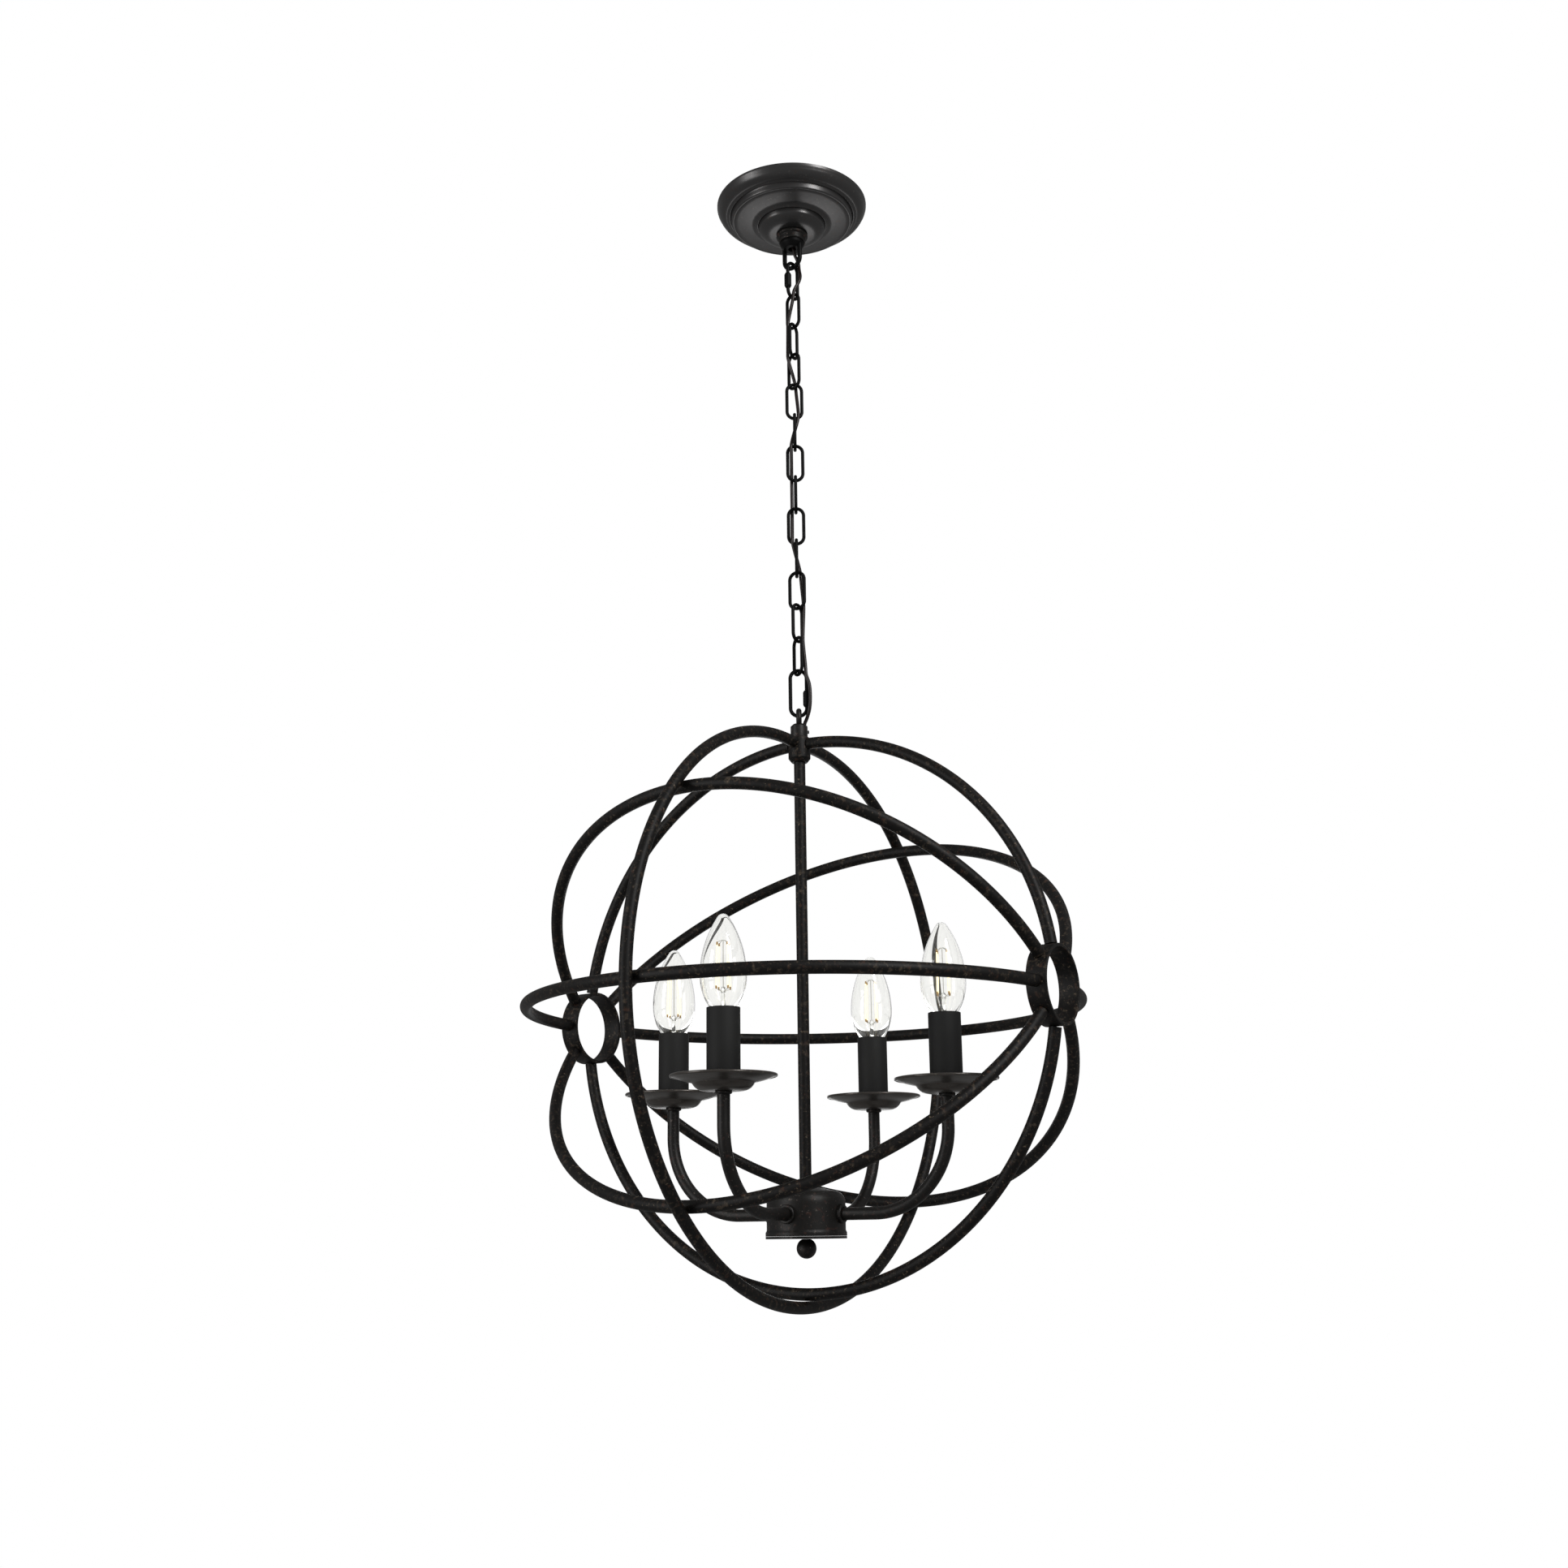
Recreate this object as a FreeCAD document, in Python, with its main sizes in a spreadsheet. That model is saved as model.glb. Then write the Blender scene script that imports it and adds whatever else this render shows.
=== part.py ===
import FreeCAD, Part
import math
import os

import Sketcher

# An orb chandelier that hangs from a ceiling box on a link chain.
#
# Frame: +Z is up, the origin is on the chain's axis at the ceiling, X runs along the
# axis of the cage's two hub rings.  Millimetres and degrees.

doc = FreeCAD.newDocument("orb_chandelier")

# ---------------------------------------------------------------------------------------
# Driving dimensions
# ---------------------------------------------------------------------------------------
DRIVING = [
    # ceiling strap
    ("strap_length", 104.0), ("strap_width", 20.0), ("strap_wall", 1.6),
    ("strap_offset", 8.0), ("strap_seat", 28.0), ("strap_ramp", 7.0),
    ("slot_spacing", 79.4), ("slot_length", 14.0), ("slot_width", 4.4),
    ("ground_screw_radius", 1.9), ("ground_screw_head", 3.6), ("ground_screw_place", 28.0),
    # nipple and its nuts
    ("nipple_radius", 4.85), ("nipple_bore", 3.3), ("nipple_top", 3.6),
    ("nipple_length", 26.0), ("nut_width", 14.0), ("nut_height", 3.0), ("fit", 0.05),
    # canopy
    ("canopy_radius", 66.8), ("canopy_wall", 1.0), ("canopy_depth", 28.5),
    ("band_edge", 3.5), ("band_radius", 57.0), ("band_low", 9.4),
    ("bead_radius", 53.2), ("bead_low", 14.4), ("dish_radius", 31.0), ("dish_low", 17.8),
    ("dome_radius", 29.3), ("dome_low", 23.6), ("dome_flat", 17.0), ("canopy_hole", 10.9),
    # collar that holds the canopy up
    ("collar_radius", 14.0), ("collar_flange", 2.6), ("collar_height", 8.0),
    ("collar_waist", 12.0),
    # loop below the canopy
    ("neck_radius", 10.7), ("neck_top", 15.0), ("neck_low", 38.5), ("neck_foot", 7.5),
    ("loop_wire", 4.0), ("loop_width", 21.0), ("loop_low", 63.1), ("cord_way", 3.3),
    # chain
    ("view_turn", 32.3), ("link_wire", 2.9), ("link_length", 35.25), ("link_width", 15.8),
    ("quick_wire", 3.1), ("quick_width", 16.6), ("top_quick_length", 37.3),
    ("bottom_quick_length", 42.6), ("quick_nut_length", 14.0), ("quick_nut_radius", 3.15),
    ("quick_gap", 2.6), ("quick_grip", 1.2), ("link_play", 0.25),
    # supply cord
    ("cord_width", 3.0), ("cord_bend", 14.0),
    # eye and coupler at the top of the cage
    ("eye_wire", 4.6), ("eye_width", 17.0), ("eye_height", 13.8), ("base_radius", 7.1),
    ("base_height", 12.0), ("base_chamfer", 2.0), ("stud_length", 8.0),
    ("stud_radius", 4.0), ("inlet_place", 4.35), ("inlet_radius", 1.75),
    ("inlet_depth", 4.0), ("set_screw_radius", 1.5), ("set_screw_reach", 1.2),
    ("set_screw_drop", 6.6),
    ("coupler_radius", 9.1), ("coupler_height", 20.7), ("coupler_foot", 6.4),
    ("coupler_taper", 3.4), ("coupler_above", 5.5),
    # centre rod
    ("rod_radius", 4.7), ("rod_bore", 3.2), ("rod_seat", 9.0), ("rod_low", 168.0),
    # cage
    ("cage_radius", 217.0), ("hoop_radius", 4.8), ("hub_ring_radius", 30.0),
    ("hub_ring_wall", 2.6), ("hub_ring_length", 16.0), ("weld_gap", 0.05),
    # arm hub
    ("hub_radius", 30.4), ("hub_top", 137.8), ("hub_crown", 21.5), ("hub_crown_drop", 2.6),
    ("hub_round", 8.6), ("hub_low", 174.2), ("hub_wall", 2.0), ("lip_height", 4.0),
    ("lip_radius", 31.3), ("boss_radius", 7.2), ("boss_reach", 33.0), ("cap_height", 2.0),
    ("finial_radius", 7.7), ("finial_drop", 183.2), ("finial_neck", 3.4),
    ("finial_stud", 2.9), ("finial_stud_top", 158.0),
    # arms
    ("arm_turn", 3.7), ("arm_radius", 4.8), ("arm_bore", 3.0), ("arm_start", 24.0),
    ("arm_drop", 158.0), ("arm_bend", 62.0), ("lamp_radius", 121.5), ("tip_radius", 3.6),
    ("tip_bore", 2.6), ("tip_length", 14.0), ("washer_radius", 6.4), ("washer_height", 2.2),
    # saucers, sleeves, sockets
    ("saucer_low", 72.2), ("saucer_foot", 14.5), ("saucer_bowl", 22.5),
    ("saucer_bowl_rise", 5.0), ("saucer_step", 1.2), ("saucer_radius", 38.3),
    ("saucer_rise", 10.4), ("saucer_wall", 0.9), ("saucer_roll", 1.2),
    ("sleeve_radius", 12.45), ("sleeve_wall", 0.8), ("sleeve_top", 12.0),
    ("socket_radius", 9.6), ("socket_low", 66.0), ("socket_floor", 43.0),
    ("socket_top", 24.0), ("socket_bore", 6.1),
    # bulbs
    ("bulb_radius", 17.4), ("bulb_tip", 57.3), ("bulb_belly", 11.0), ("bulb_nose", 5.0),
    ("bulb_wall", 0.8), ("bulb_neck", 6.3), ("bulb_neck_top", 17.0), ("bulb_foot", 22.0),
    ("base_cap", 5.85), ("base_length", 17.0), ("contact_radius", 2.4),
    ("contact_height", 1.8), ("stem_radius", 1.9), ("stem_top", 3.0),
    ("filament_radius", 0.7), ("filament_circle", 4.2), ("filament_length", 32.0),
]

sheet = doc.addObject("Spreadsheet::Sheet", "Sizes")
for row, (alias, value) in enumerate(DRIVING, start=1):
    sheet.set(f"A{row}", alias)
    sheet.set(f"B{row}", str(value))
    sheet.setAlias(f"B{row}", alias)
doc.recompute()


class Size:
    """A length or angle that knows its value and the expression that gives it."""

    def __init__(self, text, value):
        self.text = text
        self.value = value

    @staticmethod
    def of(thing):
        return thing if isinstance(thing, Size) else Size(repr(float(thing)), float(thing))

    def _with(self, other, sign, result):
        other = Size.of(other)
        return Size(f"({self.text} {sign} {other.text})", result(self.value, other.value))

    def __add__(self, other):
        return self._with(other, "+", lambda a, b: a + b)

    def __sub__(self, other):
        return self._with(other, "-", lambda a, b: a - b)

    def __mul__(self, other):
        return self._with(other, "*", lambda a, b: a * b)

    def __truediv__(self, other):
        return self._with(other, "/", lambda a, b: a / b)

    def __neg__(self):
        return Size(f"(0 - {self.text})", -self.value)

    def root(self):
        return Size(f"sqrt({self.text})", math.sqrt(self.value))


ZERO = Size.of(0)
S = {alias: Size(f"Sizes.{alias}", value) for alias, value in DRIVING}


def sine(angle):
    return Size(f"sin({angle.text})", math.sin(math.radians(angle.value)))


def cosine(angle):
    return Size(f"cos({angle.text})", math.cos(math.radians(angle.value)))


# ---------------------------------------------------------------------------------------
# Ways of making a piece
# ---------------------------------------------------------------------------------------
pieces = {}                      # node name -> (object, number of separate solids)


def bind(thing, **sizes):
    for name, size in sizes.items():
        thing.setExpression(name, Size.of(size).text)
    return thing


def place(thing, x=ZERO, y=ZERO, z=ZERO, turn=None, axis=(0, 0, 1)):
    """Put a piece at a place, turned about an axis through its own origin."""
    angle = Size.of(turn or 0)
    thing.Placement = FreeCAD.Placement(
        FreeCAD.Vector(Size.of(x).value, Size.of(y).value, Size.of(z).value),
        FreeCAD.Rotation(FreeCAD.Vector(*axis), angle.value),
    )
    for name, size in (("x", x), ("y", y), ("z", z)):
        thing.setExpression(f"Placement.Base.{name}", Size.of(size).text)
    if turn is not None:
        thing.setExpression("Placement.Rotation.Angle", angle.text)
    return thing


def cylinder(name, radius, low, high, x=ZERO, y=ZERO):
    thing = bind(doc.addObject("Part::Cylinder", name), Radius=radius, Height=high - low)
    return place(thing, x=x, y=y, z=low)


def rod_along_x(name, radius, start, end, z=ZERO):
    thing = bind(doc.addObject("Part::Cylinder", name), Radius=radius, Height=end - start)
    thing.Placement = FreeCAD.Placement(
        FreeCAD.Vector(start.value, 0, z.value), FreeCAD.Rotation(FreeCAD.Vector(0, 1, 0), 90)
    )
    thing.setExpression("Placement.Base.x", start.text)
    thing.setExpression("Placement.Base.z", z.text)
    return thing


def ring(name, radius, wire_radius, sweep=360.0):
    thing = bind(
        doc.addObject("Part::Torus", name), Radius1=radius, Radius2=wire_radius, Angle3=sweep
    )
    return thing


def fuse(name, *things):
    fused = doc.addObject("Part::MultiFuse", name)
    fused.Shapes = list(things)
    fused.Refine = True
    return fused


def cut(name, base, tool):
    thing = doc.addObject("Part::Cut", name)
    thing.Base = base
    thing.Tool = tool
    thing.Refine = True
    return thing


def group(name, things):
    thing = doc.addObject("Part::Compound", name)
    thing.Links = things
    return thing


def keep(thing, node, solids=1):
    """Name a finished piece after its node."""
    thing.Label = node
    pieces[node] = (thing, solids)
    return thing


def origin_plane(body, role):
    return [plane for plane in body.Origin.OriginFeatures if plane.Role == role][0]


def outline(body, name, corners, role="XZ_Plane", closed=True):
    """Draw lines and arcs through corners, each held to its sizes.

    A corner is (across, up), or (across, up, radius) when an arc of that radius ends
    there: a positive radius turns to the left, a negative one to the right.
    """
    sketch = body.newObject("Sketcher::SketchObject", name)
    sketch.AttachmentSupport = (origin_plane(body, role), "")
    sketch.MapMode = "FlatFace"
    places = [(Size.of(c[0]), Size.of(c[1])) for c in corners]
    pairs = list(zip(range(len(corners)), range(1, len(corners))))
    if closed:
        pairs.append((len(corners) - 1, 0))
    lines = []
    for start, end in pairs:
        a = FreeCAD.Vector(places[start][0].value, places[start][1].value, 0)
        b = FreeCAD.Vector(places[end][0].value, places[end][1].value, 0)
        radius = corners[end][2] if len(corners[end]) > 2 else None
        if radius is None:
            index = sketch.addGeometry(Part.LineSegment(a, b), False)
            lines.append((index, 1, 2))
            continue
        radius = Size.of(radius)
        reach = abs(radius.value)
        side = 1 if radius.value > 0 else -1
        chord = b - a
        left = FreeCAD.Vector(-chord.y, chord.x, 0).normalize()
        rise = math.sqrt(reach ** 2 - (chord.Length / 2) ** 2)
        centre = (a + b) * 0.5 + left * (side * rise)
        middle = centre - left * (side * reach)
        arc = Part.Arc(a, middle, b).toShape().Curve
        angles = [math.atan2(p.y - centre.y, p.x - centre.x) for p in (a, b)]
        if side < 0:
            angles.reverse()
        circle = Part.Circle(centre, FreeCAD.Vector(0, 0, 1), arc.Radius)
        index = sketch.addGeometry(Part.ArcOfCircle(circle, angles[0], angles[1]), False)
        lines.append((index, 1, 2) if side > 0 else (index, 2, 1))
        hold = sketch.addConstraint(Sketcher.Constraint("Radius", index, reach))
        sketch.setExpression(f"Constraints[{hold}]", (radius if side > 0 else -radius).text)
    for (start, end), (index, first, last) in zip(pairs, lines):
        for axis, kind in enumerate(("DistanceX", "DistanceY")):
            size = places[start][axis]
            hold = sketch.addConstraint(
                Sketcher.Constraint(kind, -1, 1, index, first, size.value)
            )
            sketch.setExpression(f"Constraints[{hold}]", size.text)
    for here, there in zip(lines, lines[1:] + lines[:1]):
        if closed or there is not lines[0]:
            sketch.addConstraint(
                Sketcher.Constraint("Coincident", here[0], here[2], there[0], there[1])
            )
    if not closed:
        index, _, last = lines[-1]
        for axis, kind in enumerate(("DistanceX", "DistanceY")):
            size = places[-1][axis]
            hold = sketch.addConstraint(
                Sketcher.Constraint(kind, -1, 1, index, last, size.value)
            )
            sketch.setExpression(f"Constraints[{hold}]", size.text)
    return sketch


def turned(name, corners):
    """A piece turned on a lathe: its half outline swept once round Z."""
    body = doc.addObject("PartDesign::Body", name)
    sketch = outline(body, f"{name}_outline", corners)
    turn = body.newObject("PartDesign::Revolution", f"{name}_turn")
    turn.Profile = sketch
    turn.ReferenceAxis = (sketch, ["V_Axis"])
    turn.Angle = 360.0
    return body


def tube(name, radius, bore, low, high):
    return cut(name, cylinder(f"{name}_solid", radius, low, high),
               cylinder(f"{name}_bore", bore, low - 1, high + 1))


def drilled(name, base, *drills):
    return cut(name, base, drills[0] if len(drills) == 1 else fuse(f"{name}_drills", *drills))


def copies(name, thing, spots):
    """Equal pieces in one node: links to one solid, each at its own spot."""
    links = []
    for number, (x, y, z, turn) in enumerate(spots, start=1):
        link = doc.addObject("App::Link", f"{name}_{number}")
        link.LinkedObject = thing
        link.LinkTransform = False
        place(link, x=x, y=y, z=z, turn=turn)
        links.append(link)
    return group(name, links)


# ---------------------------------------------------------------------------------------
# Heights down the chain, each from the one above
# ---------------------------------------------------------------------------------------
LINK_TURNS = [-38, 62, -47, 5, 90, 0, 90, 0, 90, 160, 235, 300]
TOP_QUICK_TURN = 52
BOTTOM_QUICK_TURN = 0
LOOP_TURN = -38
EYE_TURN = 90

seat = S["loop_wire"] - S["loop_low"]
seats = [seat]
chain_tops = []
for wire, length in (
    [(S["quick_wire"], S["top_quick_length"])]
    + [(S["link_wire"], S["link_length"])] * len(LINK_TURNS)
    + [(S["quick_wire"], S["bottom_quick_length"])]
):
    top = seats[-1] + S["link_play"] + wire
    chain_tops.append(top)
    seats.append(top - length + wire)
eye_top = seats[-1] + S["link_play"] + S["eye_wire"]
eye_above = S["cage_radius"] + S["coupler_above"] + S["base_height"] + S["eye_height"]
centre = eye_top - eye_above
sheet.set("A200", "orb_centre")
sheet.set("B200", "=" + centre.text.replace("Sizes.", ""))
sheet.setAlias("B200", "orb_centre")
for number, level in enumerate(chain_tops):
    sheet.set(f"B{201 + number}", "=" + level.text.replace("Sizes.", ""))
    sheet.setAlias(f"B{201 + number}", f"chain_top_{number:02d}")
    chain_tops[number] = Size(f"Sizes.chain_top_{number:02d}", level.value)
doc.recompute()
ORB = Size("Sizes.orb_centre", centre.value)

# ---------------------------------------------------------------------------------------
# Ceiling strap, nipple, canopy, collar and loop
# ---------------------------------------------------------------------------------------
half = S["strap_length"] / 2
seat_half = S["strap_seat"] / 2
ramp = seat_half + S["strap_ramp"]
wall = S["strap_wall"]
low = -S["strap_offset"]
strap = doc.addObject("PartDesign::Body", "strap_bar")
strap_side = outline(strap, "strap_side", [
    (-half, ZERO), (-half, -wall), (-ramp - wall / 2, -wall), (-seat_half - wall / 2, low - wall),
    (seat_half + wall / 2, low - wall), (ramp + wall / 2, -wall), (half, -wall), (half, ZERO),
    (ramp, ZERO), (seat_half, low), (-seat_half, low), (-ramp, ZERO),
])
strap_pad = strap.newObject("PartDesign::Pad", "strap_pad")
strap_pad.Profile = strap_side
strap_pad.SideType = "Symmetric"
strap_pad.setExpression("Length", S["strap_width"].text)

slot_cuts = []
for side in (-1, 1):
    for end in (-1, 1):
        reach = S["slot_spacing"] / 2 * side + (S["slot_length"] - S["slot_width"]) / 2 * end
        slot_cuts.append(
            cylinder(f"slot_end_{side + 1}{end + 1}", S["slot_width"] / 2, -wall - 1, ZERO + 1,
                     x=reach)
        )
    box = bind(doc.addObject("Part::Box", f"slot_middle_{side + 1}"), Width=S["slot_width"],
               Length=S["slot_length"] - S["slot_width"], Height=wall + 2)
    place(box, z=-wall - 1, y=-S["slot_width"] / 2,
          x=S["slot_spacing"] / 2 * side - (S["slot_length"] - S["slot_width"]) / 2)
    slot_cuts.append(box)
ground_x = -S["ground_screw_place"]
nipple_hole = cylinder("strap_nipple_hole", S["nipple_radius"] + S["fit"],
                       low - wall - 1, low + 1)
ground_hole = cylinder("strap_ground_hole", S["ground_screw_radius"] + S["fit"],
                       -wall - S["strap_offset"], ZERO + 1, x=ground_x)
keep(drilled("strap", strap, nipple_hole, ground_hole, *slot_cuts), "mounting_strap")

ground_low = -wall - S["fit"]
ground = fuse(
    "ground_screw_solid",
    cylinder("ground_shank", S["ground_screw_radius"], ground_low - 0.01, -S["fit"], x=ground_x),
    cylinder("ground_head", S["ground_screw_head"], ground_low - 2.4, ground_low, x=ground_x),
)
keep(ground, "ground_screw")

nipple_high = -S["nipple_top"]
nipple_foot = nipple_high - S["nipple_length"]
keep(tube("nipple", S["nipple_radius"], S["nipple_bore"], nipple_foot, nipple_high),
     "threaded_nipple")

nuts = []
for number, foot in enumerate((low + S["fit"], low - wall - S["fit"] - S["nut_height"])):
    hexagon = bind(doc.addObject("Part::Prism", f"nut_hex_{number}"),
                   Circumradius=S["nut_width"] / Size.of(3).root(), Height=S["nut_height"])
    place(hexagon, z=foot)
    nuts.append(drilled(f"nut_{number}", hexagon,
                        cylinder(f"nut_hole_{number}", S["nipple_radius"] + S["fit"],
                                 foot - 1, foot + S["nut_height"] + 1)))
keep(group("nuts", nuts), "nipple_nuts", solids=2)

depth = S["canopy_depth"]
outer = [
    (S["canopy_hole"], -depth), (S["dome_flat"], -depth),
    (S["dome_radius"], -S["dome_low"], S["canopy_depth"] * 0.62),
    (S["dome_radius"] + 0.6, -S["dish_low"] - 1.2), (S["dish_radius"] + 0.4, -S["dish_low"]),
    (S["bead_radius"] - 2, -S["bead_low"] - 0.6),
    (S["bead_radius"], -S["bead_low"] + 1.2, S["bead_radius"] * 0.04),
    (S["bead_radius"] + 1.2, -S["band_low"] - 0.6),
    (S["band_radius"], -S["band_low"]),
    (S["canopy_radius"], -S["band_edge"], S["canopy_radius"] * 0.19),
    (S["canopy_radius"], ZERO),
]
thin = S["canopy_wall"]
inner = [(S["canopy_radius"] - thin, ZERO), (S["canopy_radius"] - thin, -S["band_edge"])]
inner.append((S["band_radius"] - 0.3, -S["band_low"] + thin, -S["canopy_radius"] * 0.175))
inner.append((S["bead_radius"] + 1.2 - thin, -S["band_low"] + thin - 0.4))
inner.append((S["bead_radius"] - thin, -S["bead_low"] + thin + 0.8))
inner.append((S["bead_radius"] - 2 - thin, -S["bead_low"] + thin - 0.4))
inner.append((S["dish_radius"] - thin, -S["dish_low"] + thin))
inner.append((S["dome_radius"] - thin, -S["dome_low"] + thin + 0.6))
inner.append((S["dome_flat"] - 0.2, thin - depth, -S["canopy_depth"] * 0.58))
inner.append((S["canopy_hole"], thin - depth))
keep(turned("canopy_shell", outer + inner), "canopy")

collar_top = -depth - S["fit"]
waist = S["collar_waist"]
collar_bore = S["neck_radius"] + S["fit"]
keep(turned("collar", [
    (collar_bore, collar_top), (S["collar_radius"] - 0.8, collar_top),
    (S["collar_radius"], collar_top - 0.8), (S["collar_radius"], collar_top - S["collar_flange"]),
    (waist, collar_top - S["collar_flange"] - 1), (waist, collar_top - S["collar_height"] + 0.8),
    (waist - 0.8, collar_top - S["collar_height"]), (collar_bore, collar_top - S["collar_height"]),
]), "collar_ring")


def legs(name, wire, width, top_z, foot_z):
    """Two straight wires side by side along Z."""
    reach = (width - wire) / 2
    return [cylinder(f"{name}_leg_{side + 1}", wire / 2, foot_z, top_z, x=reach * side)
            for side in (-1, 1)]


def bend(name, wire, width, at, up):
    """Half a turn of wire that joins the two legs."""
    half_ring = ring(name, (width - wire) / 2, wire / 2, 180.0)
    half_ring.Placement = FreeCAD.Placement(
        FreeCAD.Vector(0, 0, at.value),
        FreeCAD.Rotation(FreeCAD.Vector(1, 0, 0), 90 if up else -90),
    )
    half_ring.setExpression("Placement.Base.z", at.text)
    return half_ring


neck_low = -S["neck_low"]
loop_bend = -S["loop_low"] + S["loop_width"] / 2
neck = turned("loop_neck", [
    (ZERO, -S["neck_top"]), (S["neck_radius"] - 0.6, -S["neck_top"]),
    (S["neck_radius"], -S["neck_top"] - 0.6), (S["neck_radius"], neck_low),
    (S["loop_width"] / 2 - 0.1, neck_low - 0.6), (S["neck_foot"], neck_low - 4.2),
    (ZERO, neck_low - 4.2),
])
loop_wire = fuse("loop_wire_bent", bend("loop_bend", S["loop_wire"], S["loop_width"],
                                        loop_bend, False),
                 *legs("loop", S["loop_wire"], S["loop_width"], neck_low - 1, loop_bend))
loop = drilled("loop", fuse("loop_solid", neck, loop_wire),
               cylinder("loop_socket", S["nipple_radius"] + S["fit"], nipple_foot - 0.2,
                        ZERO - S["neck_top"] + 1),
               cylinder("loop_cord_way", S["cord_way"], neck_low - 8, ZERO - S["neck_top"] + 1))
keep(place(loop, turn=S["view_turn"] + LOOP_TURN), "canopy_loop")


# ---------------------------------------------------------------------------------------
# Chain
# ---------------------------------------------------------------------------------------
def link(name, wire, width, length):
    """A closed oval link, its top at z = 0 and its plane X-Z."""
    top_bend = ZERO - width / 2
    foot_bend = width / 2 - length
    return [bend(f"{name}_top", wire, width, top_bend, True),
            bend(f"{name}_foot", wire, width, foot_bend, False),
            *legs(name, wire, width, top_bend, foot_bend)]


for number, turn in enumerate(LINK_TURNS, start=1):
    oval = fuse(f"link_{number:02d}",
                *link(f"link_{number:02d}", S["link_wire"], S["link_width"], S["link_length"]))
    place(oval, z=chain_tops[number], turn=S["view_turn"] + turn)
    keep(oval, f"chain_link_{number:02d}")


def quick_link(which, length, level, turn, side):
    """An oval link with a gap in one leg, and the sleeve nut that closes the gap."""
    width = S["quick_width"]
    wire = S["quick_wire"]
    leg_x = (width - wire) / 2 * side
    nut_foot = width / 2 - length + 1.2
    gap_foot = nut_foot + S["quick_grip"]
    gap = cylinder(f"quick_{which}_gap", wire, gap_foot, gap_foot + S["quick_gap"], x=leg_x)
    whole = fuse(f"quick_{which}_whole", *link(f"quick_{which}", wire, width, length))
    opened = drilled(f"quick_{which}", whole, gap)
    place(opened, z=level, turn=S["view_turn"] + turn)
    keep(opened, f"quick_link_{which}")
    radius = S["quick_nut_radius"]
    sleeve = turned(f"quick_{which}_sleeve", [
        (wire / 2 + S["fit"], ZERO), (radius - 0.7, ZERO), (radius, Size.of(1.6)),
        (radius, S["quick_nut_length"] - 1.6), (radius - 0.7, S["quick_nut_length"]),
        (wire / 2 + S["fit"], S["quick_nut_length"]),
    ])
    angle = S["view_turn"] + turn
    place(sleeve, x=leg_x * cosine(angle), y=leg_x * sine(angle), z=level + nut_foot)
    keep(sleeve, f"quick_link_{which}_nut")


quick_link("top", S["top_quick_length"], chain_tops[0], TOP_QUICK_TURN, -1)
quick_link("bottom", S["bottom_quick_length"], chain_tops[-1], BOTTOM_QUICK_TURN, 1)

# ---------------------------------------------------------------------------------------
# Eye and coupler
# ---------------------------------------------------------------------------------------
coupler_top = S["cage_radius"] + S["coupler_above"]
base_top = coupler_top + S["base_height"]
eye_ring = ring("eye_ring", (S["eye_width"] - S["eye_wire"]) / 2, S["eye_wire"] / 2)
eye_middle = base_top + S["eye_height"] - S["eye_width"] / 2
eye_ring.Placement = FreeCAD.Placement(
    FreeCAD.Vector(0, 0, eye_middle.value), FreeCAD.Rotation(FreeCAD.Vector(0, 1, 0), 90)
)
eye_ring.setExpression("Placement.Base.z", eye_middle.text)
base = turned("eye_base", [
    (ZERO, base_top), (S["base_radius"] - S["base_chamfer"], base_top),
    (S["base_radius"], base_top - S["base_chamfer"]), (S["base_radius"], coupler_top + 0.05),
    (S["stud_radius"], coupler_top + 0.05), (S["stud_radius"], coupler_top - S["stud_length"]),
    (ZERO, coupler_top - S["stud_length"]),
])
inlet = cylinder("eye_inlet", S["inlet_radius"], base_top - S["inlet_depth"], base_top + 4,
                 x=S["inlet_place"])
eye = drilled("eye", fuse("eye_solid", eye_ring, base), inlet)
keep(place(eye, z=ORB, turn=S["view_turn"]), "fixture_eye")

screw_z = base_top - S["set_screw_drop"]
screw = rod_along_x("set_screw_body", S["set_screw_radius"], S["base_radius"] - 0.4,
                    S["base_radius"] + S["set_screw_reach"], screw_z)
screw_seat = cylinder("set_screw_seat", S["base_radius"] + S["fit"], screw_z - 3, screw_z + 3)
keep(place(cut("set_screw_fitted", screw, screw_seat), z=ORB, turn=S["view_turn"]), "set_screw")

coupler_foot = coupler_top - S["coupler_height"]
coupler_body = turned("coupler_body", [
    (ZERO, coupler_top), (S["coupler_radius"] - 0.6, coupler_top),
    (S["coupler_radius"], coupler_top - 0.6), (S["coupler_radius"], coupler_foot + S["coupler_taper"]),
    (S["coupler_foot"], coupler_foot), (ZERO, coupler_foot),
])
coupler = drilled(
    "coupler", coupler_body,
    cylinder("coupler_stud_hole", S["stud_radius"] + S["fit"],
             coupler_top - S["stud_length"] - 0.2, coupler_top + 1),
    cylinder("coupler_rod_hole", S["rod_radius"] + S["fit"], coupler_foot - 1,
             coupler_foot + S["rod_seat"]),
)
keep(place(coupler, z=ORB), "coupler")

rod = tube("rod", S["rod_radius"], S["rod_bore"], ZERO - S["rod_low"],
           coupler_foot + S["rod_seat"] - 0.1)
keep(place(rod, z=ORB), "centre_rod")

# ---------------------------------------------------------------------------------------
# Cage
# ---------------------------------------------------------------------------------------
cage = S["cage_radius"]
hoop = S["hoop_radius"]
outer_cage = cage + hoop * 2 + S["weld_gap"]
weld = S["weld_gap"]

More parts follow.
